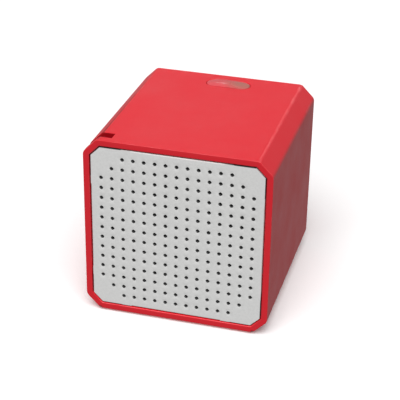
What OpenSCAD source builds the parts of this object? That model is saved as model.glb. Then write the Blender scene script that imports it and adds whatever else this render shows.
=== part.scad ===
// Portable cube loudspeaker: an octagonal-section plastic housing with a perforated front
// grille, one small full-range driver, a rechargeable cell and one circuit board.
// The front faces -Y, the rear cover faces +Y, and the rubber feet stand on Z = 0.

/* [Housing] */
// Width of the housing, side to side
body_w = 36; // [36:0.5:50]
// Height of the housing, without its feet
body_h = 36; // [36:0.5:50]
// Depth of the housing, front rim to rear rim
body_d = 37.7; // [37.5:0.5:55]
// Width of the flat cut along each of the four long edges
edge_cut = 2.7; // [2.6:0.1:5]
// Thickness of the side, top and bottom walls
wall = 1.8; // [1.6:0.1:2.4]
// Width of the rim that frames the grille and the rear cover
rim_w = 1.2; // [0.9:0.1:1.4]
// Width of the ledge behind the front rim
front_ledge_w = 1.2; // [1:0.1:1.6]
// Depth of the driver's mounting face behind the front rim
baffle_depth = 4.5; // [4.4:0.1:6]
// Thickness of the wall that carries the driver
baffle_t = 1.6; // [1.2:0.1:2.4]

/* [Grille] */
// Thickness of the perforated sheet
grille_t = 0.6; // [0.4:0.1:0.8]
// Gap between the sheet's edge and the rim
grille_gap = 0.3; // [0.1:0.05:0.5]
// How far the sheet sits below the rim
grille_sink = 0.1; // [0:0.05:0.2]
// Distance between hole centres
hole_pitch = 2.08; // [1.8:0.02:3]
// Diameter of each hole
hole_d = 0.76; // [0.5:0.02:1.4]
// Least distance from a hole's centre to the sheet's edge
hole_margin = 1.4; // [1:0.1:3]
// Steps left out of the pattern at each corner
corner_steps = 2; // [1:1:4]
// Thickness of the dust cloth behind the sheet
cloth_t = 0.2; // [0.1:0.05:0.3]
// Thickness of the adhesive ring that bonds the sheet
tape_t = 0.2; // [0.1:0.05:0.3]
// Width of the adhesive ring
tape_w = 0.8; // [0.5:0.1:1]

/* [Lanyard slot] */
// Distance from the front rim to the slot
slot_from_front = 1.7; // [1.7:0.1:1.9]
// Width of the slot, along the housing
slot_w = 2; // [1.6:0.1:2]
// Distance from the side wall's face to the slot's inner end
slot_reach = 5.1; // [4.5:0.1:5.5]
// Depth of the slot below the cut edge
slot_depth = 3.6; // [3.4:0.1:3.8]
// Diameter of the bar that the cord loops round
bar_d = 1.2; // [1:0.1:1.4]
// Depth of the bar's centre below the cut edge
bar_depth = 1.95; // [1.8:0.05:2.1]
// Thickness of the wall between the slot and the driver's chamber
slot_back = 0.7; // [0.6:0.1:1.2]

/* [Driver] */
// Outer diameter of the driver's flange
driver_d = 30; // [27:0.5:30.5]
// Thickness of the pressed steel basket
basket_t = 0.8; // [0.6:0.1:1]
// Thickness of the foam ring under the flange
gasket_t = 0.4; // [0.3:0.1:0.8]
// Depth of the basket's wall, from the flange to the spider's shelf
basket_wall_depth = 4.2; // [4.2:0.1:5]
// Depth from the flange to the top of the magnet's steel cup
motor_depth = 6.9; // [6.9:0.1:8]
// Width of the half-round surround
roll_w = 1.9; // [1.6:0.1:2.2]
// Thickness of the surround's rubber and the spider's cloth
soft_t = 0.25; // [0.2:0.05:0.3]
// Thickness of the paper cone
cone_t = 0.3; // [0.2:0.05:0.4]
// Height of the dust cap's dome
cap_rise = 1.9; // [1.4:0.1:2]
// Inner diameter of the voice coil's former
former_d = 12.9; // [12.6:0.1:13]
// Thickness of the former's wall
former_t = 0.1; // [0.08:0.01:0.12]
// Thickness of the copper winding
winding_t = 0.4; // [0.3:0.05:0.45]
// Length of the copper winding
winding_l = 2.4; // [2:0.1:2.6]
// Diameter of the steel plate inside the coil
pole_d = 12.4; // [12:0.1:12.5]
// Thickness of that plate
pole_t = 1.5; // [1.2:0.1:1.8]
// Diameter of the magnet
magnet_d = 12; // [10:0.5:12]
// Thickness of the magnet
magnet_t = 2.4; // [2:0.1:3]
// Inner diameter of the steel cup
yoke_bore = 14.6; // [14.5:0.1:15]
// Thickness of the steel cup
yoke_t = 1.4; // [1.2:0.1:1.6]

/* [Battery] */
// Thickness of the pouch cell
cell_t = 6; // [5:0.2:6]
// Width of the pouch cell
cell_w = 20; // [16:0.5:20]
// Length of the pouch cell
cell_l = 22; // [18:0.5:22]
// Thickness of the foam tape under the cell
cell_tape_t = 0.6; // [0.4:0.1:0.8]
// Thickness of the protection board on the cell's end
guard_t = 1; // [0.8:0.1:1.2]
// Diameter of the insulated leads
lead_d = 0.9; // [0.7:0.1:1]

/* [Circuit board] */
// Thickness of the main board
board_t = 1; // [0.8:0.1:1.2]
// Length of the main board, front to back
board_l = 22; // [20:0.5:22]
// Height of the push switch, from the board to the tip of its plunger
tact_h = 3.8; // [3.6:0.1:4.3]
// Side of the push switch's square body
tact_w = 4.4; // [4:0.1:4.4]
// Length of the charging socket
usb_l = 5.6; // [5:0.1:6]
// Width of the charging socket
usb_w = 7.5; // [7.5:0.1:8]
// Height of the charging socket
usb_h = 2.6; // [2.4:0.1:2.8]
// Gap between the charging socket and the corner post beside it
usb_from_post = 1.05; // [0.5:0.05:1.1]
// Gap between the power switch and the corner post beside it
switch_from_post = 0.3; // [0.2:0.05:0.5]
// Length of the power switch's body
switch_l = 8.4; // [8:0.1:8.6]
// Travel of the power switch
switch_travel = 2; // [1.5:0.1:2.2]

/* [Button] */
// Length of the oval button, side to side
button_l = 8.8; // [8:0.2:12]
// Width of the oval button
button_w = 3.6; // [3.5:0.1:4.4]
// Distance from the rear rim to the button's centre
button_from_rear = 4.3; // [4.3:0.1:6]
// Distance from the middle to the button's centre, side to side
button_x = 1; // [0:0.1:1]
// How far the button stands above the housing
button_proud = 0.3; // [0.1:0.05:0.5]
// Travel of the button
button_travel = 0.3; // [0.2:0.05:0.4]

/* [Rear cover and fasteners] */
// Thickness of the rear cover
cover_t = 1.6; // [1.4:0.1:2]
// How far the rear cover sits below the rim
cover_sink = 0.2; // [0.1:0.05:0.4]
// Gap between the cover's edge and the rim
cover_gap = 0.15; // [0.1:0.05:0.25]
// Thread diameter of the self-tapping screws
screw_d = 1.7; // [1.6:0.1:1.8]
// Head diameter of the cover screws
screw_head_d = 3.2; // [3:0.1:3.4]
// Length of the self-tapping screws under the head
screw_l = 5; // [4:0.5:6]
// Diameter of each rubber foot
foot_d = 4.5; // [4:0.5:6]
// Thickness of each rubber foot
foot_t = 0.8; // [0.6:0.1:1.2]
// How far a foot stands below the housing
foot_proud = 0.5; // [0.3:0.1:0.6]
// Distance from the middle to each foot, side to side
foot_x = 12; // [10:0.5:12]
// Distance from the middle to each foot, front to back
foot_y = 12.8; // [10:0.2:13]

/* [Hidden] */
$fn = 64;
// Clearance round a piece that moves or is put in through a hole
slip = 0.15;
// A cut runs this far past the face that it opens
cut = 1;

front_y = -body_d / 2;
rear_y = body_d / 2;
axis_z = foot_proud + body_h / 2;
top_z = foot_proud + body_h;
inner_w = body_w - 2 * wall;
floor_z = foot_proud + wall;
ceiling_z = top_z - wall;

grille_inset = rim_w + grille_gap;
chamber_inset = rim_w + front_ledge_w;
ledge_depth = grille_sink + grille_t + cloth_t + tape_t;
flange_depth = baffle_depth - gasket_t - basket_t;
flange_seat_w = 1.4;
driver_hole_r = driver_d / 2 - flange_seat_w;
cover_depth = body_d - cover_sink - cover_t;
cover_in_y = rear_y - cover_sink - cover_t;

// Four screws stand in the corners, clear of the driver and of the walls
screw_from_flange = 1.3;
driver_screw_at = (driver_d / 2 + screw_from_flange) / sqrt(2);
driver_screw_end = flange_depth + screw_l;
pilot_spare = 0.3;
boss_r = 2;
boss_from_wall = 2.1;
boss_x = inner_w / 2 - boss_from_wall;
boss_z = body_h / 2 - wall - boss_from_wall;
boss_spare = 1.5;
boss_l = screw_l + boss_spare;
thread_bite = 0.15;
pilot_r = screw_d / 2 - thread_bite;
washer_r = 1.75;
head_t = 0.8;

// The button's flange is held under the housing's top wall by the push switch
button_y = rear_y - button_from_rear;
button_end_lip = 0.8;
button_side_lip = 0.35;
button_flange_t = 0.8;
button_free = 0.05;
button_bottom_z = ceiling_z - button_free - button_flange_t;
board_top_z = button_bottom_z - tact_h;
board_z = board_top_z - board_t;
board_slip = 0.1;
board_from_cover = 0.2;
board_rear_y = cover_in_y - board_from_cover;
board_front_y = board_rear_y - board_l;
rail_in = 1.2;
rail_t = 0.9;
rail_from_end = 1;

tact_body_h = 2;
tact_floor_t = 0.6;
plunger_r = 1.2;
plunger_slip = 0.08;
switch_w = 3.6;
switch_h = 3.4;
switch_wall = 0.4;
switch_from_end = 0.35;
switch_rear_y = board_rear_y - switch_from_end;
knob_w = 2;
knob_h = 1.9;
knob_slip = 0.1;
knob_sink = 0.35;
knob_z = board_top_z + switch_h / 2;
knob_end_y = rear_y - knob_sink;
knob_base_l = 3.4;
knob_base_h = 2.3;
knob_base_w = 1.6;
usb_x = boss_x - boss_r - usb_from_post - usb_w / 2;
switch_x = -(boss_x - boss_r - switch_from_post - switch_l / 2);
knob_x = switch_x - switch_travel / 2;
usb_sink = 0.7;
usb_mouth_y = rear_y - usb_sink;
usb_z = board_top_z + usb_h / 2;
usb_shell_t = 0.3;

led_x = 0;
led_w = 3;
led_h = 1.1;
led_z = board_z - led_h / 2;
light_r = 0.9;
mic_below_board = 4;
mic_x = usb_x;
mic_z = board_z - mic_below_board;
mic_r = 2;
mic_t = 1.5;
mic_boot_t = 0.5;
mic_boot_lip = 0.2;
sound_r = 0.5;

cell_bottom_z = floor_z + cell_tape_t;
cell_from_cover = 3.1;
cell_rear_y = cover_in_y - cell_from_cover;
cell_front_y = cell_rear_y - cell_l;
cell_mid_y = (cell_front_y + cell_rear_y) / 2;
cell_mid_z = cell_bottom_z + cell_t / 2;

// ---- Shared shapes ----

// Outline of the body in X and Z, moved in evenly by inset
module outline(inset) {
    w = body_w / 2 - inset;
    h = body_h / 2 - inset;
    c = edge_cut - inset * (2 - sqrt(2));
    polygon([[w - c, h], [w, h - c], [w, c - h], [w - c, -h],
        [c - w, -h], [-w, c - h], [-w, h - c], [c - w, h]]);
}

// Extrudes an X-Z outline between two depths behind the front rim
module slab(from, to) {
    translate([0, front_y + to, axis_z]) rotate([90, 0, 0]) linear_extrude(to - from) children();
}

// Puts a shape made along +Z on the driver's axis, with Z = 0 at the flange's front
module on_driver() {
    translate([0, front_y + flange_depth, axis_z]) rotate([-90, 0, 0]) children();
}

// A box given by two opposite corners, in any order
module box(a, b) {
    translate([for (k = [0:2]) min(a[k], b[k])]) cube([for (k = [0:2]) abs(b[k] - a[k])]);
}

// A flat ring or disc between two heights
module ring(inner_r, outer_r, from, to) {
    translate([0, 0, from]) difference() {
        cylinder(r = outer_r, h = to - from);
        if (inner_r > 0) translate([0, 0, -cut]) cylinder(r = inner_r, h = to - from + 2 * cut);
    }
}

// An upright oval with round ends
module oval(length, width, height) {
    reach = (length - width) / 2;
    translate([-reach, 0, 0]) cylinder(d = width, h = height);
    translate([reach, 0, 0]) cylinder(d = width, h = height);
    translate([-reach, -width / 2, 0]) cube([2 * reach, width, height]);
}

// Copies a shape to the four corners (x, z) round the body's axis
module corners(x, z) {
    for (sx = [-1, 1], sz = [-1, 1]) translate([sx * x, 0, axis_z + sz * z]) children();
}

// Cross-shaped driver recess, cut into a screw head that faces +Z
module cross_recess(size, depth) {
    for (turn = [0, 90]) rotate(turn) translate([-size / 2, -size / 8, -depth])
        cube([size, size / 4, depth + cut]);
}

// Points on a quadratic curve through three control points
function bend(a, b, c, steps) =
    [for (i = [0:steps]) let (t = i / steps) (1 - t) * (1 - t) * a + 2 * t * (1 - t) * b + t * t * c];

// A tube with eight sides along points that lie in one plane X = constant
module lead(points, d) {
    sides = 8;
    last = len(points) - 1;
    function way(i) =
        let (v = points[min(i + 1, last)] - points[max(i - 1, 0)]) v / norm(v);
    rings = [for (i = [0:last], s = [0:sides - 1])
        let (w = way(i), a = (s + 0.5) * 360 / sides)
        points[i] + d / 2 * (cos(a) * [1, 0, 0] + sin(a) * [0, w[2], -w[1]])];
    walls = [for (i = [0:last - 1], s = [0:sides - 1])
        let (n = (s + 1) % sides)
        [i * sides + s, i * sides + n, (i + 1) * sides + n, (i + 1) * sides + s]];
    ends = [[for (s = [sides - 1:-1:0]) s], [for (s = [0:sides - 1]) last * sides + s]];
    polyhedron(rings, concat(walls, ends));
}

// ---- Housing ----

// The cut edges lie on the lines |x| + |z| = edge_sum
edge_sum = (body_w + body_h) / 2 - edge_cut;

// Opening of the driver's chamber, with corners full enough to hold the slot
module chamber_outline() {
    intersection() {
        outline(chamber_inset);
        rotate(45) square(sqrt(2) * edge_sum - 2 * (slot_depth + slot_back), center = true);
    }
}

// Slot across the top left edge, with the bar left standing in it
module lanyard_slot() {
    far = edge_sum - slot_depth * sqrt(2);
    reach_x = body_w / 2 - slot_reach;
    reach_z = body_h / 2 - slot_reach;
    bar_sum = edge_sum - bar_depth * sqrt(2);
    bar_z = (bar_sum + reach_z - reach_x) / 2;
    slab(slot_from_front, slot_from_front + slot_w) difference() {
        polygon([[-reach_x, far - reach_x], [-reach_x, body_h / 2 + cut],
            [-body_w / 2 - cut, body_h / 2 + cut], [-body_w / 2 - cut, reach_z],
            [reach_z - far, reach_z]]);
        translate([bar_z - bar_sum, bar_z]) circle(d = bar_d);
    }
}

// Rear corner posts for the cover screws, each joined to both walls
module cover_bosses() {
    to_wall = boss_from_wall + wall / 2;
    for (sx = [-1, 1], sz = [-1, 1]) intersection() {
        translate([sx * boss_x, cover_in_y - boss_l, axis_z + sz * boss_z]) {
            rotate([-90, 0, 0]) cylinder(r = boss_r, h = boss_l);
            box([0, 0, -sz * boss_r], [sx * to_wall, boss_l, sz * to_wall]);
            box([-sx * boss_r, 0, 0], [sx * to_wall, boss_l, sz * to_wall]);
        }
        slab(0, body_d) outline(wall / 2);
    }
}

// Grooved rails on both side walls, closed at the front, that the board slides into
module board_rails() {
    low = board_z - board_slip / 2;
    high = board_top_z + board_slip / 2;
    stop_y = board_front_y - board_slip;
    from_y = stop_y - rail_t;
    to_y = board_rear_y - rail_from_end;
    for (side = [-1, 1]) {
        in_x = side * (inner_w / 2 - rail_in);
        out_x = side * (inner_w / 2 + wall / 2);
        box([in_x, from_y, low - rail_t], [out_x, to_y, low]);
        box([in_x, from_y, high], [out_x, to_y, high + rail_t]);
        box([in_x, from_y, low - rail_t], [out_x, stop_y, high + rail_t]);
    }
}

// Ribs on the floor that keep the cell from moving sideways
module cell_ribs() {
    rib_t = 1;
    rib_h = 3;
    front_gap = 2;
    rear_gap = 4;
    for (side = [-1, 1]) {
        in_x = side * (cell_w / 2 + slip);
        box([in_x, cell_front_y + front_gap, floor_z - wall / 2],
            [in_x + side * rib_t, cell_rear_y - rear_gap, floor_z + rib_h]);
    }
}

module housing() {
    blind_end = 1;
    color("crimson") difference() {
        union() {
            difference() {
                slab(0, body_d) outline(0);
                slab(-cut, ledge_depth) outline(rim_w);
                slab(ledge_depth - cut, baffle_depth) chamber_outline();
                slab(baffle_depth + baffle_t, cover_depth + cut) outline(wall);
                slab(cover_depth, body_d + cut) outline(rim_w);
            }
            corners(driver_screw_at, driver_screw_at) translate([0, front_y + baffle_depth, 0])
                rotate([-90, 0, 0]) cylinder(r = boss_r, h = driver_screw_end - baffle_depth + blind_end);
            cover_bosses();
            board_rails();
            cell_ribs();
        }
        // Hole for the driver, and pilot holes for its screws and the cover's
        slab(baffle_depth - cut, baffle_depth + baffle_t + cut) circle(r = driver_hole_r);
        corners(driver_screw_at, driver_screw_at) translate([0, front_y + flange_depth, 0])
            rotate([-90, 0, 0]) cylinder(r = pilot_r, h = screw_l + pilot_spare);
        corners(boss_x, boss_z) translate([0, cover_in_y - screw_l + cover_t - head_t - pilot_spare, 0])
            rotate([-90, 0, 0]) cylinder(r = pilot_r, h = screw_l);
        // Oval hole for the button
        translate([button_x, button_y, ceiling_z - cut])
            oval(button_l + 2 * slip, button_w + 2 * slip, wall + 2 * cut);
        lanyard_slot();
        // Shallow seats for the feet
        for (sx = [-1, 1], sy = [-1, 1]) translate([sx * foot_x, sy * foot_y, foot_proud - cut])
            cylinder(d = foot_d + 2 * slip, h = foot_t - foot_proud + cut);
    }
}

// ---- Grille ----

module grille() {
    half_w = body_w / 2 - grille_inset;
    half_h = body_h / 2 - grille_inset;
    nx = floor((half_w - hole_margin) / hole_pitch);
    nz = floor((half_h - hole_margin) / hole_pitch);
    color("gainsboro") slab(grille_sink, grille_sink + grille_t) difference() {
        outline(grille_inset);
        for (i = [-nx:nx], j = [-nz:nz])
            if (nx - abs(i) + nz - abs(j) >= corner_steps)
                translate([i, j] * hole_pitch) circle(d = hole_d, $fn = 24);
    }
}

module grille_cloth() {
    from = grille_sink + grille_t;
    color("dimgray") slab(from, from + cloth_t) outline(grille_inset + slip);
}

module grille_tape() {
    color("black") slab(ledge_depth - tape_t, ledge_depth) difference() {
        outline(grille_inset + slip);
        outline(grille_inset + slip + tape_w);
    }
}

// ---- Driver: everything here is turned round its axis, radius against depth ----

flange_w = 2.5;
flange_r = driver_d / 2;
roll_out_r = flange_r - flange_w;
roll_in_r = roll_out_r - roll_w;
roll_mid_r = (roll_out_r + roll_in_r) / 2;
wall_lean = 1.1;
shelf_w = 1;
shelf_r = roll_out_r - wall_lean;
drum_r = shelf_r - shelf_w;
lip_drop = 0.5;
lip_w = 0.8;
lip_from_edge = 0.6;
lip_out_r = flange_r - lip_from_edge;
lip_in_r = roll_in_r - lip_w;
former_r = former_d / 2 + former_t;
neck_depth = 2.4;
neck_h = 0.4;
cone_front = lip_drop;
spider_in_depth = 3.4;
cap_from_neck = 0.65;
cap_r = former_r + cap_from_neck;
coil_mid = motor_depth + pole_t / 2;
edge_gap = 0.1;

module driver_gasket() {
    color("black") on_driver()
        ring(driver_hole_r + edge_gap, flange_r - edge_gap, basket_t, basket_t + gasket_t);
}

module driver_basket() {
    shelf = basket_wall_depth;
    wall_spread = 0.7;
    windows = 6;
    window_w = 6.8;
    window_from_mid = 1.5;
    front_bar = 0.5;
    rear_bar = 0.4;
    color("silver") on_driver() difference() {
        rotate_extrude() polygon([
            [roll_out_r - edge_gap, 0], [flange_r, 0], [flange_r, basket_t],
            [roll_out_r + wall_spread, basket_t],
            [shelf_r + basket_t, shelf + basket_t], [drum_r, shelf + basket_t], [drum_r, motor_depth],
            [yoke_bore / 2, motor_depth], [yoke_bore / 2, motor_depth - basket_t],
            [drum_r - basket_t, motor_depth - basket_t], [drum_r - basket_t, shelf],
            [shelf_r, shelf]]);
        // Vents in the sloping wall and in the drum
        for (i = [0:windows - 1]) rotate((i + 0.5) * 360 / windows) {
            box([roll_mid_r - window_from_mid, -window_w / 2, basket_t + front_bar],
                [flange_r + cut, window_w / 2, shelf - rear_bar]);
        }
    }
}

module driver_screws() {
    washer_t = 0.4;
    washer_w = 0.35;
    head_top = head_t + 0.3;
    recess_w = 1.8;
    recess_depth = 0.7;
    color("dimgray") corners(driver_screw_at, driver_screw_at)
        translate([0, front_y + flange_depth, 0]) rotate([90, 0, 0]) difference() {
            union() {
                cylinder(r = washer_r, h = washer_t);
                cylinder(r = washer_r - washer_w, h = head_top);
                translate([0, 0, -screw_l]) cylinder(d = screw_d, h = screw_l);
            }
            translate([0, 0, head_top]) cross_recess(recess_w, recess_depth);
        }
}

// Half-round rubber ring from the flange down to the cone's rim
module surround() {
    steps = 16;
    mid = roll_w / 2;
    half = soft_t / 2;
    outer_arc = [for (i = [0:steps]) let (a = 180 * i / steps)
        [roll_mid_r + (mid + half) * cos(a), -half - (mid + half) * sin(a)]];
    inner_arc = [for (i = [steps:-1:0]) let (a = 180 * i / steps)
        [roll_mid_r + (mid - half) * cos(a), -half - (mid - half) * sin(a)]];
    color("black") on_driver() rotate_extrude() polygon(concat(
        [[lip_out_r, 0], [lip_out_r, -soft_t], [roll_out_r + half, -soft_t]],
        [for (i = [1:steps]) outer_arc[i]],
        [[roll_in_r - half, lip_drop - soft_t], [lip_in_r, lip_drop - soft_t], [lip_in_r, lip_drop],
            [roll_in_r + half, lip_drop]],
        [for (i = [0:steps - 1]) inner_arc[i]],
        [[roll_out_r - half, 0]]));
}

module cone() {
    seat_w = 0.15;
    rim_r = roll_in_r + seat_w;
    color("black") on_driver() rotate_extrude() polygon([
        [rim_r, cone_front], [rim_r, cone_front + cone_t], [lip_in_r - edge_gap, cone_front + cone_t],
        [former_r + cone_t, neck_depth + cone_t], [former_r + cone_t, neck_depth + neck_h],
        [former_r, neck_depth + neck_h], [former_r, neck_depth], [lip_in_r, cone_front]]);
}

// Thin dome over the coil, standing on the cone
module dust_cap() {
    base = neck_depth - (neck_depth - cone_front) * (cap_r - former_r) / (lip_in_r - former_r);
    ball = (cap_r * cap_r + cap_rise * cap_rise) / (2 * cap_rise);
    shell = soft_t;
    color("darkslategray") on_driver() difference() {
        translate([0, 0, base - cap_rise + ball]) sphere(r = ball, $fn = 96);
        translate([0, 0, base - cap_rise + ball]) sphere(r = ball - shell, $fn = 96);
        translate([0, 0, base - shell + 2 * ball]) cube(4 * ball, center = true);
    }
}

module coil_former() {
    color("tan") on_driver()
        ring(former_d / 2, former_r, neck_depth, coil_mid + winding_l / 2 + edge_gap);
}

module voice_coil() {
    color("peru") on_driver()
        ring(former_r, former_r + winding_t, coil_mid - winding_l / 2, coil_mid + winding_l / 2);
}

// Corrugated cloth ring from the former out to the basket's shelf
module spider() {
    waves = 3;
    wave_h = 0.22;
    steps = 24;
    out_r = shelf_r - 2 * edge_gap;
    flat = 0.9;
    depth_out = basket_wall_depth - soft_t;
    span = out_r - flat - former_r;
    curve = [for (i = [0:steps]) let (t = i / steps)
        [former_r + span * t, spider_in_depth + (depth_out - spider_in_depth) * t
            + wave_h * sin(360 * waves * t)]];
    color("goldenrod") on_driver() rotate_extrude() polygon(concat(
        curve, [[out_r, depth_out], [out_r, depth_out + soft_t]],
        [for (i = [steps:-1:0]) curve[i] + [0, soft_t]]));
}

module pole_plate() {
    color("silver") on_driver() ring(0, pole_d / 2, motor_depth, motor_depth + pole_t);
}

module magnet() {
    top = motor_depth + pole_t;
    color("lightgray") on_driver() ring(0, magnet_d / 2, top, top + magnet_t);
}

module yoke() {
    base = motor_depth + pole_t + magnet_t;
    outer_r = yoke_bore / 2 + yoke_t;
    color("gray") on_driver() union() {
        ring(yoke_bore / 2, outer_r, motor_depth, base + yoke_t);
        ring(0, yoke_bore / 2 + yoke_t / 2, base, base + yoke_t);
    }
}

// Small board behind the basket's shelf, with a solder lug for each lead
terminal_front_y = front_y + flange_depth + basket_wall_depth + basket_t;
terminal_low_z = axis_z + drum_r + edge_gap / 2;
terminal_w = 6.8;
terminal_h = 2.4;
terminal_t = 0.6;
lug_w = 1.4;
lug_t = 0.3;
lug_post_d = 1;
lug_post_l = 0.6;
lug_x = 1.9;
lug_z = terminal_low_z + terminal_h / 2;

module terminal_board() {
    color("saddlebrown") box([-terminal_w / 2, terminal_front_y, terminal_low_z],
        [terminal_w / 2, terminal_front_y + terminal_t, terminal_low_z + terminal_h]);
}

module terminal_lugs() {
    rear = terminal_front_y + terminal_t;
    color("gold") for (side = [-1, 1]) translate([side * lug_x, rear, lug_z]) {
        box([-lug_w / 2, 0, -lug_w / 2], [lug_w / 2, lug_t, lug_w / 2]);
        rotate([-90, 0, 0]) cylinder(d = lug_post_d, h = lug_post_l);
    }
}

// Each lead leaves its lug and its pad straight for straight_l, and arches over the board's edge
module speaker_leads() {
    straight_l = 0.4;
    arch = 1.8;
    pad_from_edge = 1.5;
    start_y = terminal_front_y + terminal_t + lug_post_l;
    end_y = board_front_y + pad_from_edge;
    color("firebrick") for (side = [-1, 1]) {
        start = [side * lug_x, start_y, lug_z];
        over = [side * lug_x, (start_y + end_y) / 2, max(lug_z, board_top_z) + arch];
        finish = [side * lug_x, end_y, board_top_z];
        curve = bend(start + [0, straight_l, 0], over, finish + [0, 0, straight_l], 10);
        lead(concat([start], curve, [finish]), lead_d);
    }
}

// ---- Battery ----

module battery_tape() {
    inset = 1;
    color("white") box([-cell_w / 2 + inset, cell_front_y + inset, floor_z],
        [cell_w / 2 - inset, cell_rear_y - inset, cell_bottom_z]);
}

// Pouch with rounded long edges
module battery_cell() {
    edge_r = 1.8;
    reach = cell_w / 2 - edge_r;
    color("lightsteelblue") translate([0, cell_front_y, cell_mid_z]) union() {
        box([-reach, 0, -cell_t / 2], [reach, cell_l, cell_t / 2]);
        box([-cell_w / 2, 0, edge_r - cell_t / 2], [cell_w / 2, cell_l, cell_t / 2 - edge_r]);
        for (sx = [-1, 1], sz = [-1, 1]) translate([sx * reach, 0, sz * (cell_t / 2 - edge_r)])
            rotate([-90, 0, 0]) cylinder(r = edge_r, h = cell_l);
    }
}

module battery_guard_board() {
    inset = 3;
    half_h = 1.6;
    color("darkgreen") box([-cell_w / 2 + inset, cell_rear_y, cell_mid_z - half_h],
        [cell_w / 2 - inset, cell_rear_y + guard_t, cell_mid_z + half_h]);
}

// Two leads up behind the cell, bent forward under the board
module battery_leads() {
    out = 0.9;
    back = 1.2;
    bend_h = 1.5;
    end_l = 0.5;
    start_y = cell_rear_y + guard_t;
    up_y = start_y + out;
    color("red") for (x = [-4.6, -3.2]) {
        low = bend([x, start_y + edge_gap, cell_mid_z], [x, up_y, cell_mid_z],
            [x, up_y, cell_mid_z + bend_h], 4);
        high = bend([x, up_y, board_z - 2 * bend_h], [x, up_y, board_z - bend_h],
            [x, up_y - back, board_z - end_l], 4);
        lead(concat([[x, start_y, cell_mid_z]], low, high, [[x, up_y - back, board_z]]), lead_d);
    }
}

// ---- Circuit board and what is soldered to it ----

module main_board() {
    half = inner_w / 2 - board_slip;
    color("darkgreen") box([-half, board_front_y, board_z], [half, board_rear_y, board_top_z]);
}

// A chip on the board's top, given by its centre, size and height
module chip(x, from_rear, length, width, height) {
    box([x - length / 2, board_rear_y - from_rear - width / 2, board_top_z],
        [x + length / 2, board_rear_y - from_rear + width / 2, board_top_z + height]);
}

module radio_module() {
    color("silver") chip(-5.6, 13, 12, 9, 1.8);
}

module amplifier_chip() {
    color("black") chip(6.5, 15, 4, 4, 1);
}

module charger_chip() {
    color("black") chip(10.8, 9, 3, 3, 0.9);
}

module antenna() {
    color("ivory") chip(-13.2, 13, 2, 6.5, 1);
}

module capacitors() {
    color("khaki") {
        chip(6.6, 9.6, 3.2, 1.8, 1.6);
        chip(6.6, 7, 3.2, 1.8, 1.6);
        chip(11.2, 14.6, 1.8, 3.2, 1.6);
        chip(2.6, 8.2, 1.8, 3.2, 1.6);
    }
}

module status_led() {
    lamp_l = 1.4;
    from_cover = 0.9;
    end_y = cover_in_y - from_cover;
    color("white") box([led_x - led_w / 2, end_y - lamp_l, board_z - led_h],
        [led_x + led_w / 2, end_y, board_z]);
}

// Clear pin through the cover, with a pad that faces the lamp
module light_pipe() {
    pad_l = 0.7;
    sink = 0.1;
    color("whitesmoke") translate([led_x, cover_in_y, led_z]) union() {
        box([-led_w / 2, -pad_l, -led_h / 2], [led_w / 2, 0, led_h / 2 - board_slip]);
        rotate([-90, 0, 0]) cylinder(r = light_r, h = cover_t - sink);
    }
}

// The socket's section: a rectangle whose lower corners slant in, grown evenly by grow
module usb_section(grow) {
    w = usb_w / 2 + grow;
    h = usb_h / 2 + grow;
    slant = usb_h / 2;
    lean = grow * (sqrt(2) - 1);
    polygon([[-w, h], [w, h], [w, slant - usb_h / 2 - lean], [w - slant + lean, -h],
        [slant - lean - w, -h], [-w, slant - usb_h / 2 - lean]]);
}

// Extrudes the socket's section between two places along Y
module usb_slab(from_y, to_y, grow) {
    translate([usb_x, to_y, usb_z]) rotate([90, 0, 0]) linear_extrude(to_y - from_y) usb_section(grow);
}

module usb_shell() {
    from_y = usb_mouth_y - usb_l;
    color("silver") difference() {
        usb_slab(from_y, usb_mouth_y, 0);
        usb_slab(from_y + usb_shell_t, usb_mouth_y + cut, -usb_shell_t);
    }
}

// Plastic block with the contact tongue inside the socket
module usb_tongue() {
    from_y = usb_mouth_y - usb_l + usb_shell_t;
    block_l = 1.2;
    tongue_w = 3.8;
    tongue_h = 0.6;
    tongue_sink = 0.6;
    color("black") union() {
        usb_slab(from_y, from_y + block_l, -usb_shell_t);
        box([usb_x - tongue_w / 2, from_y, usb_z],
            [usb_x + tongue_w / 2, usb_mouth_y - tongue_sink, usb_z + tongue_h]);
    }
}

// Hollow metal case of the power switch, slotted towards the rear
module switch_case() {
    low_y = switch_rear_y - switch_w;
    color("silver") difference() {
        box([switch_x - switch_l / 2, low_y, board_top_z],
            [switch_x + switch_l / 2, switch_rear_y, board_top_z + switch_h]);
        box([switch_x - switch_l / 2 + switch_wall, low_y + switch_wall, board_top_z + switch_wall],
            [switch_x + switch_l / 2 - switch_wall, switch_rear_y - switch_wall,
                board_top_z + switch_h - switch_wall]);
        box([switch_x - (switch_travel + knob_w) / 2 - slip, switch_rear_y - 2 * switch_wall,
                knob_z - knob_h / 2 - knob_slip],
            [switch_x + (switch_travel + knob_w) / 2 + slip, switch_rear_y + cut,
                knob_z + knob_h / 2 + knob_slip]);
    }
}

// Sliding knob, drawn at the end of its travel nearest the side wall
module switch_slider() {
    base_rear_y = switch_rear_y - switch_wall - knob_slip;
    color("black") union() {
        box([knob_x - knob_base_l / 2, base_rear_y - knob_base_w, knob_z - knob_base_h / 2],
            [knob_x + knob_base_l / 2, base_rear_y, knob_z + knob_base_h / 2]);
        box([knob_x - knob_w / 2, base_rear_y - knob_base_w, knob_z - knob_h / 2],
            [knob_x + knob_w / 2, knob_end_y, knob_z + knob_h / 2]);
    }
}

module tact_switch() {
    color("dimgray") difference() {
        translate([button_x - tact_w / 2, button_y - tact_w / 2, board_top_z])
            cube([tact_w, tact_w, tact_body_h]);
        translate([button_x, button_y, board_top_z + tact_floor_t])
            cylinder(r = plunger_r + plunger_slip, h = tact_body_h);
    }
}

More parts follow.
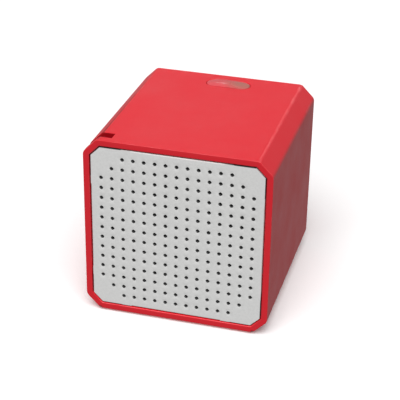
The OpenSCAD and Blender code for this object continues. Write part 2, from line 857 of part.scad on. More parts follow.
// Plunger of the push switch, which carries the button
module tact_plunger() {
    spare = 0.1;
    low_z = board_top_z + tact_floor_t + button_travel + spare;
    color("black") translate([button_x, button_y, low_z])
        cylinder(r = plunger_r, h = button_bottom_z - low_z);
}

// Oval cap with a flange below the top wall and a crowned face
module button_cap() {
    crown_r = 9;
    face_z = top_z + button_proud;
    color("firebrick") translate([button_x, button_y, 0]) union() {
        translate([0, 0, button_bottom_z])
            oval(button_l + 2 * button_end_lip, button_w + 2 * button_side_lip, button_flange_t);
        intersection() {
            translate([0, 0, button_bottom_z]) oval(button_l, button_w, face_z - button_bottom_z);
            translate([-button_l, 0, face_z - crown_r]) rotate([0, 90, 0])
                cylinder(r = crown_r, h = 2 * button_l, $fn = 128);
        }
    }
}

module microphone() {
    color("silver") translate([mic_x, cover_in_y - mic_t, mic_z]) rotate([-90, 0, 0])
        cylinder(r = mic_r, h = mic_t);
}

module microphone_boot() {
    color("black") translate([mic_x, cover_in_y - mic_t - mic_boot_lip, mic_z]) rotate([-90, 0, 0])
        ring(mic_r, mic_r + mic_boot_t, 0, mic_t + mic_boot_lip);
}

module microphone_leads() {
    out = 1.2;
    bend_h = 1.5;
    spacing = 1.4;
    start_y = cover_in_y - mic_t;
    up_y = start_y - out;
    d = lead_d * 2 / 3;
    color("red") for (x = [mic_x - spacing / 2, mic_x + spacing / 2]) {
        turn = bend([x, start_y - edge_gap, mic_z], [x, up_y, mic_z], [x, up_y, mic_z + bend_h], 4);
        lead(concat([[x, start_y, mic_z]], turn, [[x, up_y, board_z]]), d);
    }
}

// ---- Rear cover ----

module rear_cover() {
    out_y = cover_in_y + cover_t;
    usb_slip = 0.2;
    screw_slip = 0.1;
    light_slip = 0.02;
    color("crimson") difference() {
        slab(cover_depth, cover_depth + cover_t) outline(rim_w + cover_gap);
        corners(boss_x, boss_z) translate([0, cover_in_y, 0]) rotate([-90, 0, 0]) {
            translate([0, 0, -cut]) cylinder(r = screw_d / 2 + screw_slip, h = cover_t + 2 * cut);
            translate([0, 0, cover_t - head_t - screw_slip])
                cylinder(r1 = screw_d / 2 + screw_slip, r2 = screw_head_d / 2 + screw_slip,
                    h = head_t + screw_slip);
        }
        usb_slab(cover_in_y - cut, out_y + cut, usb_slip);
        box([switch_x - (switch_travel + knob_w) / 2 - slip, cover_in_y - cut, knob_z - knob_h / 2 - slip],
            [switch_x + (switch_travel + knob_w) / 2 + slip, out_y + cut, knob_z + knob_h / 2 + slip]);
        translate([led_x, cover_in_y - cut, led_z]) rotate([-90, 0, 0])
            cylinder(r = light_r + light_slip, h = cover_t + 2 * cut);
        translate([mic_x, cover_in_y - cut, mic_z]) rotate([-90, 0, 0])
            cylinder(r = sound_r, h = cover_t + 2 * cut);
    }
}

module cover_screws() {
    head_sink = 0.05;
    recess_w = 1.7;
    recess_depth = 0.6;
    color("dimgray") corners(boss_x, boss_z) translate([0, cover_in_y + cover_t, 0])
        rotate([-90, 0, 0]) difference() {
            union() {
                translate([0, 0, -head_t - head_sink])
                    cylinder(r1 = screw_d / 2, r2 = screw_head_d / 2, h = head_t);
                translate([0, 0, -head_t - screw_l]) cylinder(d = screw_d, h = screw_l);
            }
            translate([0, 0, -head_sink]) cross_recess(recess_w, recess_depth);
        }
}

module feet() {
    color("black") for (sx = [-1, 1], sy = [-1, 1]) translate([sx * foot_x, sy * foot_y, 0])
        cylinder(d = foot_d, h = foot_t);
}

housing();
grille();
grille_cloth();
grille_tape();
driver_gasket();
driver_basket();
driver_screws();
surround();
cone();
dust_cap();
coil_former();
voice_coil();
spider();
pole_plate();
magnet();
yoke();
terminal_board();
terminal_lugs();
speaker_leads();
battery_tape();
battery_cell();
battery_guard_board();
battery_leads();
main_board();
radio_module();
amplifier_chip();
charger_chip();
antenna();
capacitors();
status_led();
light_pipe();
usb_shell();
usb_tongue();
switch_case();
switch_slider();
tact_switch();
tact_plunger();
button_cap();
microphone();
microphone_boot();
microphone_leads();
rear_cover();
cover_screws();
feet();
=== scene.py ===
from math import atan2, cos, degrees, pi, radians, sin, sqrt

import bmesh
import bpy
from mathutils import Matrix, Vector
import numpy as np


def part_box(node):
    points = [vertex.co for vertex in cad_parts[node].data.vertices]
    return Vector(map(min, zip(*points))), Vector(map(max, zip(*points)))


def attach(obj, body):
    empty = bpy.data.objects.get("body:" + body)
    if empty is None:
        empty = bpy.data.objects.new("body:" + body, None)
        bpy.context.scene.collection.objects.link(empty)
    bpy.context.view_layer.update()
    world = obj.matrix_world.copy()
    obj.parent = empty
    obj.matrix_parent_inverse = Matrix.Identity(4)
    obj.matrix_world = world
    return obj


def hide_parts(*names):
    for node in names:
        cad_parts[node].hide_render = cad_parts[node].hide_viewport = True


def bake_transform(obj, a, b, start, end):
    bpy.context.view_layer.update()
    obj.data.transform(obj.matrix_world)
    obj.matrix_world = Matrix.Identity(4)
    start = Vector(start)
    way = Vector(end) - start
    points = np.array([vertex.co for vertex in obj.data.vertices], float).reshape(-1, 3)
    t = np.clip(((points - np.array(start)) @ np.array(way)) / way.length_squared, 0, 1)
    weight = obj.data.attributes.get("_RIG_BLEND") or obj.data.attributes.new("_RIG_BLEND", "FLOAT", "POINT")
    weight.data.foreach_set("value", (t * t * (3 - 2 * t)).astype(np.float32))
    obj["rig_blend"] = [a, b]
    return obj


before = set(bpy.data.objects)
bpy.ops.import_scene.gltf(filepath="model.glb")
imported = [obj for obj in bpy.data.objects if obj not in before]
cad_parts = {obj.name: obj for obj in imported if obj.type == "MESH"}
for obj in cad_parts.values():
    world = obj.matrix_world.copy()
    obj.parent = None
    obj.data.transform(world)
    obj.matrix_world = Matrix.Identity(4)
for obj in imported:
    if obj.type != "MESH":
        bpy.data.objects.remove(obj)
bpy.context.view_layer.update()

# ---- Camera, floor and light ----
# A long lens looks down on the front and the right side from a quarter of a metre away. The light
# is one wide soft lamp high in front, a weaker one low behind as a white table would throw it back,
# a grey room around, and two small lamps that draw a line along the edges and a spot on the button.
mm = 0.001
aim = Vector((-0.57, 0, 17.05)) * mm
camera_distance = 250.3 * mm
camera_azimuth = radians(15.14)
camera_elevation = radians(27.5)
camera_roll = radians(1)
floor_reach = 4
room_grey = 0.11
cards_grey = 0.32
backdrop_white = 0.97
floor_white = 0.97
floor_glow = 0.08

camera = bpy.data.objects.new("camera", bpy.data.cameras.new("camera"))
camera.data.lens = 112.8
camera.data.sensor_width = 36
camera.data.clip_start = 0.01
camera.data.clip_end = 20
camera_turn = (
    Matrix.Rotation(camera_azimuth, 4, "Z")
    @ Matrix.Rotation(pi / 2 - camera_elevation, 4, "X")
    @ Matrix.Rotation(camera_roll, 4, "Z")
)
camera_back = Matrix.Translation((0, 0, camera_distance))
camera.matrix_world = Matrix.Translation(aim) @ camera_turn @ camera_back
bpy.context.scene.collection.objects.link(camera)
bpy.context.scene.camera = camera
bpy.context.scene.view_settings.view_transform = "Standard"


def add(tree, kind, sockets=(), **settings):
    """Adds a node to a tree. A socket given as another node's output is linked, any other is set."""
    made = tree.nodes.new(kind)
    for key, value in settings.items():
        setattr(made, key, value)
    for key, value in dict(sockets).items():
        if isinstance(value, bpy.types.NodeSocket):
            tree.links.new(value, made.inputs[key])
        else:
            made.inputs[key].default_value = value
    return made


def soft_lamp(name, towards, strength, spread):
    """A lamp as wide as spread degrees in the sky; strength 1 lights a white card to full white."""
    lamp = bpy.data.objects.new(name, bpy.data.lights.new(name, "SUN"))
    lamp.data.energy = strength * pi
    lamp.data.angle = radians(spread)
    lamp.rotation_mode = "QUATERNION"
    lamp.rotation_quaternion = Vector(towards).to_track_quat("Z", "Y")
    bpy.context.scene.collection.objects.link(lamp)
    return lamp


soft_lamp("lamp_in_front", (0.08, -0.58, 0.9), 1.09, 50)
bounce = soft_lamp("lamp_low_behind", (-0.5, 0.66, -0.56), 0.42, 50)
bounce.visible_glossy = False
soft_lamp("lamp_on_the_edges", (0.16, 0.857, 0.48), 0.025, 9)
soft_lamp("lamp_on_the_button", (-0.26, 0.857, 0.446), 0.004, 2)

world = bpy.data.worlds.new("room")
world.use_nodes = True
bpy.context.scene.world = world
room = world.node_tree
for old in list(room.nodes):
    room.nodes.remove(old)
rays = add(room, "ShaderNodeLightPath").outputs
walls, cards, backdrop = (
    add(room, "ShaderNodeBackground", {"Color": (grey, grey, grey, 1)}).outputs[0]
    for grey in (room_grey, cards_grey, backdrop_white)
)
lit = add(room, "ShaderNodeMixShader", {0: rays["Is Glossy Ray"], 1: walls, 2: cards})
shown = add(room, "ShaderNodeMixShader", {0: rays["Is Camera Ray"], 1: lit.outputs[0], 2: backdrop})
add(room, "ShaderNodeOutputWorld", {"Surface": shown.outputs[0]})

bm = bmesh.new()
bmesh.ops.create_grid(bm, x_segments=1, y_segments=1, size=floor_reach)
floor = bpy.data.objects.new("floor", bpy.data.meshes.new("floor"))
bm.to_mesh(floor.data)
bm.free()
floor.visible_diffuse = False
floor.visible_glossy = False
floor.visible_shadow = False
bpy.context.scene.collection.objects.link(floor)

paint = bpy.data.materials.new("floor_paint")
paint.use_nodes = True
tree = paint.node_tree
tree.nodes.remove(tree.nodes["Principled BSDF"])
matt = add(tree, "ShaderNodeBsdfDiffuse", {"Color": (floor_white, floor_white, floor_white, 1)})
glow = add(tree, "ShaderNodeEmission", {"Strength": floor_glow})
card = add(tree, "ShaderNodeAddShader", {0: matt.outputs[0], 1: glow.outputs[0]})
clear = add(tree, "ShaderNodeBsdfTransparent")
side = add(tree, "ShaderNodeNewGeometry").outputs["Backfacing"]
both = add(tree, "ShaderNodeMixShader", {0: side, 1: card.outputs[0], 2: clear.outputs[0]})
tree.links.new(both.outputs[0], tree.nodes["Material Output"].inputs["Surface"])
floor.data.materials.append(paint)


# ---- Housing ----
# One injection moulding in red plastic: an octagonal tube, closed behind the grille by the wall
# that carries the driver. The mould rounds its outer edges and gives it a satin, finely grained
# skin, which handling polishes along the edges.
long_edge_r = 0.5 * mm
outer_rim_r = 0.42 * mm
rounded_in = 0.1 * mm
rim_edge_r = 0.16 * mm
cut_edge_r = 0.12 * mm
rim_zone = 1.5 * mm
tiny = 0.005 * mm
weld = 0.001 * mm
red = (0.80, 0.019, 0.032)
worn_red = (0.86, 0.10, 0.11)
# Painted shade: the darker red given to the walls inside the lanyard slot
slot_shade_red = (0.36, 0.002, 0.006)
slot_skin = 0.05 * mm
slot_zone = (1.5 * mm, 4 * mm)


def merged_copy(node):
    """A CAD node's mesh with its loose triangles joined and each flat face made whole."""
    bm = bmesh.new()
    bm.from_mesh(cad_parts[node].data)
    bmesh.ops.remove_doubles(bm, verts=bm.verts, dist=weld)
    bmesh.ops.dissolve_limit(
        bm, angle_limit=radians(0.5), verts=bm.verts, edges=bm.edges, delimit={"NORMAL"}
    )
    return bm


def edges_where(bm, test, least_turn=60, most_turn=180):
    """The edges whose faces meet at such a turn, in degrees, and whose two ends pass the test."""
    return [
        e
        for e in bm.edges
        if len(e.link_faces) == 2
        and radians(least_turn) < e.calc_face_angle() < radians(most_turn)
        and all(test(v.co) for v in e.verts)
    ]


def soften(bm, edges, radius, segments, worn=True):
    """Rounds edges, and marks the middle of each rounding as where it wears."""
    mark = bm.verts.layers.float.get("edge_wear") or bm.verts.layers.float.new("edge_wear")
    made = bmesh.ops.bevel(
        bm,
        geom=edges,
        offset=radius,
        offset_type="OFFSET",
        affect="EDGES",
        segments=segments,
        profile=0.5,
        clamp_overlap=True,
        material=-1,
    )
    strip = set(made["faces"])
    for v in made["verts"]:
        if worn and v.is_valid and all(f in strip for f in v.link_faces):
            v[mark] = 1


def place(bm, name, body, material, stands_for=(), crease=35):
    """Makes a piece of a bmesh, smooth apart from its creases. It rides on a CAD body if one is
    given."""
    mesh = bpy.data.meshes.new(name)
    bm.to_mesh(mesh)
    bm.free()
    mesh.shade_smooth()
    mesh.set_sharp_from_angle(angle=radians(crease))
    mesh.materials.append(material)
    piece = bpy.data.objects.new(name, mesh)
    bpy.context.scene.collection.objects.link(piece)
    if body:
        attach(piece, body)
    if stands_for:
        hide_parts(*stands_for)
    return piece


def keep_flats_flat(piece):
    """Lets the large faces set the shading beside a rounding."""
    weighted = piece.modifiers.new("weighted", "WEIGHTED_NORMAL")
    weighted.keep_sharp = True
    weighted.weight = 100


def new_group(name, inputs, outputs):
    """A node group with number inputs {label: value} and number outputs [label]."""
    group = bpy.data.node_groups.new(name, "ShaderNodeTree")
    for label, value in inputs.items():
        socket = group.interface.new_socket(label, in_out="INPUT", socket_type="NodeSocketFloat")
        socket.default_value = value
    for label in outputs:
        group.interface.new_socket(label, in_out="OUTPUT", socket_type="NodeSocketFloat")
    return group, add(group, "NodeGroupInput").outputs, add(group, "NodeGroupOutput").inputs


def maths(tree, operation, *values):
    """The result of a maths node on numbers or other nodes' outputs."""
    return add(tree, "ShaderNodeMath", dict(enumerate(values)), operation=operation).outputs[0]


def marked(tree, name):
    """How far a point is marked with an attribute, from 0 to 1."""
    return add(tree, "ShaderNodeAttribute", attribute_name=name).outputs["Fac"]


def noise(tree, size, detail=2.0, roughness=0.5):
    """Noise with features of about that size in metres, fixed to the piece."""
    place_of = add(tree, "ShaderNodeTexCoord").outputs["Object"]
    per_metre = maths(tree, "DIVIDE", 1.0, size)
    made = add(
        tree,
        "ShaderNodeTexNoise",
        {"Vector": place_of, "Scale": per_metre, "Detail": detail, "Roughness": roughness},
    )
    return made.outputs["Fac"]


def spread(tree, value, low, high, to_low, to_high):
    """Maps low..high of a value to a new range, clamped."""
    keys = {"Value": value, "From Min": low, "From Max": high, "To Min": to_low, "To Max": to_high}
    return add(tree, "ShaderNodeMapRange", keys).outputs["Result"]


def patchy(tree, size, detail=2.0, roughness=0.5, low=0.3, high=0.7):
    """Soft patches of about that size in metres, as a mask."""
    return spread(tree, noise(tree, size, detail, roughness), low, high, 0.0, 1.0)


# Fine grain of a moulded or sprayed surface, as a height from 0 to 1
grain, given, out = new_group("grain", {"Size": 0.2 * mm, "Pits": 0.0}, ["Height"])
fine = noise(grain, given["Size"])
pits = spread(grain, fine, 0.25, 0.42, 1.0, 0.0)
sunk = maths(grain, "MULTIPLY", pits, given["Pits"])
level = maths(grain, "SUBTRACT", fine, sunk)
grain.links.new(level, out["Height"])

# Edges that handling has rubbed, in patches, from 0 to 1
rubbed, given, out = new_group("rubbed_edges", {"Patch": 3 * mm, "Amount": 0.6}, ["Mask"])
worn_at = marked(rubbed, "edge_wear")
patches = spread(rubbed, noise(rubbed, given["Patch"], 5.0, 0.7), 0.42, 0.62, 0.0, 1.0)
here = maths(rubbed, "MULTIPLY", worn_at, patches)
much = maths(rubbed, "MULTIPLY", here, given["Amount"])
rubbed.links.new(much, out["Mask"])

# Shine that changes with fingermarks and dust, as a roughness
handled, given, out = new_group(
    "handled", {"Patch": 9 * mm, "Low": 0.35, "High": 0.5}, ["Roughness"]
)
marks = noise(handled, given["Patch"], 6.0, 0.65)
shine = add(
    handled,
    "ShaderNodeMapRange",
    {"Value": marks, "From Min": 0.35, "From Max": 0.65, "To Min": given["Low"], "To Max": given["High"]},
)
handled.links.new(shine.outputs["Result"], out["Roughness"])


def use_group(tree, group, **values):
    """Places a node group in a material and returns its outputs."""
    made = add(tree, "ShaderNodeGroup", node_tree=group)
    for key, value in values.items():
        made.inputs[key.replace("_", " ")].default_value = value
    return made.outputs


def start_material(name, colour, roughness, metallic=0.0, specular=0.5):
    """A material with its plain values set, and its tree and shader to build on."""
    material = bpy.data.materials.new(name)
    material.use_nodes = True
    material.diffuse_color = (*colour, 1)
    shader = material.node_tree.nodes["Principled BSDF"]
    shader.inputs["Base Color"].default_value = (*colour, 1)
    shader.inputs["Roughness"].default_value = roughness
    shader.inputs["Metallic"].default_value = metallic
    shader.inputs["Specular IOR Level"].default_value = specular
    return material, material.node_tree, shader


def bump(tree, shader, height, depth, strength=1.0):
    """Raises the surface by a height of 0 to 1 times depth, in metres."""
    raised = add(tree, "ShaderNodeBump", {"Height": height, "Distance": depth, "Strength": strength})
    tree.links.new(raised.outputs["Normal"], shader.inputs["Normal"])


def uneven_shine(tree, shader, shine, patch=9 * mm):
    """Lets fingermarks and dust vary the roughness between two values."""
    low, high = shine
    rough = use_group(tree, handled, Patch=patch, Low=low, High=high)["Roughness"]
    tree.links.new(rough, shader.inputs["Roughness"])


def fine_skin(tree, shader, shine, size, depth, pits=0.0):
    """An uneven shine over a fine grain of that size and depth."""
    uneven_shine(tree, shader, shine)
    bump(tree, shader, use_group(tree, grain, Size=size, Pits=pits)["Height"], depth)


def tint(tree, shader, mask, colour, other):
    """Colours the shader from one colour to another by a mask. The first may be an earlier tint."""
    first = colour if isinstance(colour, bpy.types.NodeSocket) else (*colour, 1)
    mixed = add(tree, "ShaderNodeMix", {0: mask, 6: first, 7: (*other, 1)}, data_type="RGBA").outputs[2]
    tree.links.new(mixed, shader.inputs["Base Color"])
    return mixed


def moulded(name, colour, worn_colour, shine, size, depth, wear=0.6, painted_shade=None):
    """Moulded plastic: grained skin, fingermarks in its shine, rubbed edges, and a darker colour
    painted as shade where a piece is marked for painted shade."""
    material, tree, shader = start_material(name, colour, shine[0])
    mask = use_group(tree, rubbed, Amount=wear)["Mask"]
    skin = tint(tree, shader, mask, colour, worn_colour)
    if painted_shade:
        tint(tree, shader, marked(tree, "painted_shade"), skin, painted_shade)
    fine_skin(tree, shader, shine, size, depth)
    return material


red_plastic = moulded(
    "red_plastic",
    red,
    worn_red,
    shine=(0.33, 0.42),
    size=0.16 * mm,
    depth=0.006 * mm,
    painted_shade=slot_shade_red,
)

low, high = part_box("housing")
front_y, rear_y = low.y, high.y
half_w = high.x
half_h = (high.z - low.z) / 2
axis_z = (high.z + low.z) / 2
bm = merged_copy("housing")
edge_sum = half_h + max(abs(v.co.x) for v in bm.verts if v.co.z > high.z - tiny)


def beyond(co):
    """How far a point lies outside the body's octagonal section, negative inside."""
    x, z = abs(co.x), abs(co.z - axis_z)
    return max(x - half_w, z - half_h, (x + z - edge_sum) / sqrt(2))


def on_skin(co):
    return beyond(co) > -tiny


def at_rim(co):
    return min(co.y - front_y, rear_y - co.y) < tiny


def runs_back(edge):
    """Whether an edge runs straight from front to rear."""
    one, other = (v.co for v in edge.verts)
    return abs(one.x - other.x) + abs(one.z - other.z) < tiny


long_edges = [e for e in edges_where(bm, on_skin, 40, 50) if runs_back(e)]
soften(bm, long_edges, long_edge_r, 5)
outer_rims = edges_where(bm, lambda co: beyond(co) > -rounded_in and at_rim(co))
soften(bm, outer_rims, outer_rim_r, 5)
soften(bm, edges_where(bm, at_rim), rim_edge_r, 2)
cut_edges = edges_where(
    bm,
    lambda co: beyond(co) > -long_edge_r
    and co.z > axis_z
    and front_y + rim_zone < co.y < rear_y - rim_zone / 2,
)
soften(bm, cut_edges, cut_edge_r, 2, worn=False)
# Painted shade: the walls inside the lanyard slot are marked to be coloured darker red, as shade the lamps
# don't cast there
painted_shade = bm.verts.layers.float.new("painted_shade")
for v in bm.verts:
    in_slot = v.co.x < 0 and v.co.z > axis_z and slot_zone[0] < v.co.y - front_y < slot_zone[1]
    v[painted_shade] = in_slot and beyond(v.co) < -slot_skin
housing = place(bm, "housing_shell", "enclosure", red_plastic, ["housing"])
keep_flats_flat(housing)


# ---- Rear cover ----
# A flat plate of the same red plastic, pressed into the rear rim and held by four screws. It has
# openings for the charging socket, the power switch, the lamp and the microphone.
cover_edge_r = 0.2 * mm
port_edge_r = 0.14 * mm
cover_rim_w = 1.6 * mm
screw_zone = 11 * mm
cover_out_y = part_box("rear_cover")[1].y
bm = merged_copy("rear_cover")


def on_cover_face(co):
    return co.y > cover_out_y - tiny


perimeter = edges_where(bm, lambda co: on_cover_face(co) and beyond(co) > -cover_rim_w)
soften(bm, perimeter, cover_edge_r, 3)
ports = edges_where(
    bm,
    lambda co: on_cover_face(co)
    and not (abs(co.x) > screw_zone and abs(co.z - axis_z) > screw_zone),
)
soften(bm, ports, port_edge_r, 2, worn=False)
cover = place(bm, "rear_cover_plate", "enclosure", red_plastic, ["rear_cover"])
keep_flats_flat(cover)


# ---- Grille ----
# A steel sheet punched with 213 round holes in rows, its corners cut like the body's. The punch
# rolls the edge of each hole over, and the sheet is sprayed with off-white powder paint. The walls
# of the holes are coloured near-black as painted shade, so the holes look dark.
holes_across = 15
hole_pitch = 2.08 * mm
hole_r = 0.38 * mm
hole_sides = 16
corner_steps = 2
hole_edge_r = 0.06 * mm
sheet_edge_r = 0.16 * mm
paint_t = 0.05 * mm
grille_white = (0.87, 0.87, 0.86)
bare_steel = (0.62, 0.62, 0.62)
hole_shade_grey = (0.09, 0.09, 0.09)

low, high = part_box("grille")
sheet_half = high.x + paint_t
sheet_t = high.y - low.y
sheet_sum = 2 * sheet_half - (half_w + half_h - edge_sum) + (half_w - sheet_half) * (2 - sqrt(2))

bm = bmesh.new()
cells_across = holes_across + 2
bmesh.ops.create_grid(
    bm, x_segments=cells_across, y_segments=cells_across, size=cells_across * hole_pitch / 2
)

# Each cell with a hole gets a ring of faces round a true circle
most = holes_across // 2
punched = []
for face in bm.faces:
    steps_in = [most - round(abs(c) / hole_pitch) for c in face.calc_center_median().xy]
    if min(steps_in) >= 0 and sum(steps_in) >= corner_steps:
        punched.append(face)
sides = {e for f in punched for e in f.edges}
bmesh.ops.bisect_edges(bm, edges=list(sides), cuts=hole_sides // 4 - 1)
centres = {f: f.calc_center_median() for f in punched}
bmesh.ops.inset_individual(bm, faces=punched, thickness=hole_pitch / 4, use_even_offset=False)
for face, centre in centres.items():
    for v in face.verts:
        step = 2 * pi / hole_sides
        angle = round(atan2(v.co.y - centre.y, v.co.x - centre.x) / step) * step
        v.co = centre + hole_r * Vector((cos(angle), sin(angle), 0))
bmesh.ops.delete(bm, geom=punched, context="FACES")

# The outermost cells are drawn in to the sheet's edge, where the cut corners keep their two points
corner_from = sheet_sum - sheet_half
last_hole_edge = holes_across * hole_pitch / 2
for v in bm.verts:
    x, z = abs(v.co.x), abs(v.co.y)
    if max(x, z) > last_hole_edge + tiny:
        grow = 1 / max(x / sheet_half, z / sheet_half, (x + z) / sheet_sum)
        if abs(min(x, z) * grow - corner_from) < hole_pitch / 6:
            x, z = (sheet_half, corner_from) if x > z else (corner_from, sheet_half)
        else:
            x, z = x * grow, z * grow
    elif min(x, z) > last_hole_edge - tiny:
        x, z = x - hole_pitch / 6, z - hole_pitch / 6
    v.co.x = x if v.co.x > 0 else -x
    v.co.y = z if v.co.y > 0 else -z
bmesh.ops.solidify(bm, geom=bm.faces[:], thickness=sheet_t)
top = max(v.co.z for v in bm.verts)


def in_hole(co):
    x, z = co.x / hole_pitch, co.y / hole_pitch
    return sqrt((x - round(x)) ** 2 + (z - round(z)) ** 2) * hole_pitch < hole_r * 1.02


holes = edges_where(bm, lambda co: co.z > top - tiny and in_hole(co))
outside = edges_where(bm, lambda co: co.z > top - tiny and not in_hole(co))
soften(bm, holes, hole_edge_r, 2, worn=False)
soften(bm, outside, sheet_edge_r, 3)
# Marks the walls of the holes for painted shade
wall_at = bm.verts.layers.float.new("hole_wall")
for v in bm.verts:
    v[wall_at] = in_hole(v.co) and v.co.z < top - hole_edge_r / 4
bmesh.ops.rotate(bm, verts=bm.verts, matrix=Matrix.Rotation(pi / 2, 3, "X"))
bmesh.ops.translate(bm, verts=bm.verts, vec=(0, low.y + top, axis_z))

powder_paint, tree, shader = start_material("powder_paint", grille_white, 0.5)
mask = use_group(tree, rubbed, Amount=0.5)["Mask"]
speckle = patchy(tree, 0.35 * mm, 3.0, low=0.35, high=0.65)
base = tint(tree, shader, speckle, tuple(c * 0.95 for c in grille_white), grille_white)
bare = tint(tree, shader, mask, base, bare_steel)
# Painted shade: the walls of the holes are coloured near-black
tint(tree, shader, marked(tree, "hole_wall"), bare, hole_shade_grey)
fine_skin(tree, shader, (0.45, 0.6), size=0.22 * mm, depth=0.012 * mm, pits=0.3)
grille = place(bm, "grille_sheet", "enclosure", powder_paint, ["grille"])
keep_flats_flat(grille)


# ---- Button ----
# An oval aluminium cap with a crowned face, sprayed with glossy red lacquer that fingers have worn
# through to dull metal towards its right end. Its flange keeps it under the housing's top wall.
cap_edge_r = 0.22 * mm
cap_slices = 14
cap_end_drop_r = 30 * mm
cap_side_h = 0.8 * mm
lacquer = (0.76, 0.085, 0.10)
thin_lacquer = (0.42, 0.165, 0.125)
worn_reach = (1.1 * mm, 4.4 * mm)
worn_at_x = 0.68
worn_squash = 1.6

low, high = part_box("button_cap")
cap_middle = (low + high) / 2
bm = merged_copy("button_cap")
face_half_l = max(abs(v.co.x - cap_middle.x) for v in bm.verts if v.co.z > high.z - cap_side_h)
for i in range(1, cap_slices):
    slice_x = cap_middle.x + face_half_l * (2 * i / cap_slices - 1)
    whole = bm.verts[:] + bm.edges[:] + bm.faces[:]
    bmesh.ops.bisect_plane(bm, geom=whole, plane_co=(slice_x, 0, 0), plane_no=(1, 0, 0))
for v in bm.verts:
    if v.co.z > high.z - cap_side_h:
        v.co.z -= (v.co.x - cap_middle.x) ** 2 / (2 * cap_end_drop_r)
soften(bm, edges_where(bm, lambda co: co.z > high.z - 1.5 * cap_side_h, 45), cap_edge_r, 4)

lacquered, tree, shader = start_material("worn_lacquer", lacquer, 0.14)
worn_spot = (cap_middle.x + worn_at_x * face_half_l, cap_middle.y, 0)
spot = add(tree, "ShaderNodeTexCoord").outputs["Object"]
offset = add(tree, "ShaderNodeVectorMath", {0: spot, 1: worn_spot}, operation="SUBTRACT").outputs[0]
flatten = {0: offset, 1: (1, worn_squash, 0)}
flat = add(tree, "ShaderNodeVectorMath", flatten, operation="MULTIPLY").outputs[0]
reach = add(tree, "ShaderNodeVectorMath", {0: flat}, operation="LENGTH").outputs["Value"]
worn = spread(tree, reach, *worn_reach, 1.0, 0.0)
cloudy = spread(tree, noise(tree, 0.7 * mm, 4.0), 0.3, 0.7, 0.75, 1.0)
worn = maths(tree, "MULTIPLY", worn, cloudy)
tint(tree, shader, worn, lacquer, thin_lacquer)
tree.links.new(spread(tree, worn, 0.0, 1.0, 0.14, 0.4), shader.inputs["Roughness"])
bump(tree, shader, use_group(tree, grain, Size=0.3 * mm)["Height"], 0.0008 * mm)
button = place(bm, "button_top", "button", lacquered, ["button_cap"])
keep_flats_flat(button)


# ---- Grille cloth and its tape ----
# Black woven dust cloth, cut to the sheet's shape and stretched flat behind it. A thin ring of
# black adhesive tape bonds the cloth and the sheet to the ledge behind the front rim.
cloth_steps = 48
thread_pitch = 0.22 * mm
cloth_dip = 0.03 * mm
cloth_black = (0.045, 0.045, 0.048)
tape_black = (0.02, 0.02, 0.022)
tape_edge_r = 0.04 * mm

low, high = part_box("grille_cloth")
cloth_half = high.x
cloth_t = high.y - low.y
cloth_sum = edge_sum - (half_w + half_h - 2 * cloth_half) + (half_w - cloth_half) * (2 - sqrt(2))
bm = bmesh.new()
bmesh.ops.create_grid(bm, x_segments=cloth_steps, y_segments=cloth_steps, size=cloth_half)
for side_x in (-1, 1):
    for side_z in (-1, 1):
        bmesh.ops.bisect_plane(
            bm,
            geom=bm.verts[:] + bm.edges[:] + bm.faces[:],
            plane_co=(side_x * cloth_sum / 2, side_z * cloth_sum / 2, 0),
            plane_no=(side_x, side_z, 0),
            clear_outer=True,
        )
cloth_area = sum(face.calc_area() for face in bm.faces)
for v in bm.verts:
    v.co.z = cloth_dip * cos(v.co.x / cloth_half * pi / 2) * cos(v.co.y / cloth_half * pi / 2)
bmesh.ops.rotate(bm, verts=bm.verts, matrix=Matrix.Rotation(-pi / 2, 3, "X"))
bmesh.ops.translate(bm, verts=bm.verts, vec=(0, (low.y + high.y - cloth_dip) / 2, axis_z))

# Plain weave, as a height: threads that pass over and under each other
weave, given, out = new_group("weave", {"Pitch": 0.25 * mm}, ["Height"])
on_piece = add(weave, "ShaderNodeTexCoord").outputs["Object"]
spot = add(weave, "ShaderNodeSeparateXYZ", {0: on_piece})
turns = maths(weave, "DIVIDE", pi, given["Pitch"])
ups = []
for along, across in (("X", "Z"), ("Z", "X")):
    thread, cross = (maths(weave, "MULTIPLY", spot.outputs[way], turns) for way in (across, along))
    round_top = maths(weave, "ABSOLUTE", maths(weave, "SINE", thread))
    over = spread(weave, maths(weave, "COSINE", cross), -1.0, 1.0, 0.35, 1.0)
    ups.append(maths(weave, "MULTIPLY", round_top, over))
cloth_top = maths(weave, "MAXIMUM", ups[0], ups[1])
weave.links.new(cloth_top, out["Height"])


def woven(name, colour, thread_colour, pitch, depth, stiffening=0.85):
    """Woven cloth: a weave that shows in its colour and its height, and fuzz in its shine."""
    material, tree, shader = start_material(name, colour, stiffening, specular=0.25)
    threads = use_group(tree, weave, Pitch=pitch)["Height"]
    tint(tree, shader, threads, colour, thread_colour)
    fuzz = spread(tree, noise(tree, 2 * pitch, 4.0), 0.3, 0.7, stiffening - 0.1, stiffening + 0.1)
    tree.links.new(fuzz, shader.inputs["Roughness"])
    bump(tree, shader, threads, depth)
    shader.inputs["Sheen Weight"].default_value = 0.3
    return material


cloth_weave = woven(
    "dust_cloth",
    tuple(c / 2 for c in cloth_black),
    cloth_black,
    pitch=thread_pitch,
    depth=0.03 * mm,
)
cloth = place(bm, "dust_cloth", "enclosure", cloth_weave, ["grille_cloth"])
thickness = cloth.modifiers.new("thickness", "SOLIDIFY")
thickness.thickness = cloth_t - cloth_dip
thickness.offset = 0


def anywhere(co):
    return True


def eased(node, radius, segments=2, least_turn=50):
    """A CAD node's mesh with all of its sharp edges rounded."""
    bm = merged_copy(node)
    soften(bm, edges_where(bm, anywhere, least_turn), radius, segments)
    return bm


tape = moulded(
    "tape_film",
    tape_black,
    (0.07, 0.07, 0.07),
    shine=(0.45, 0.7),
    size=0.15 * mm,
    depth=0.01 * mm,
    wear=0.3,
)
bm = eased("grille_tape", tape_edge_r)
place(bm, "grille_tape_ring", "enclosure", tape, ["grille_tape"])


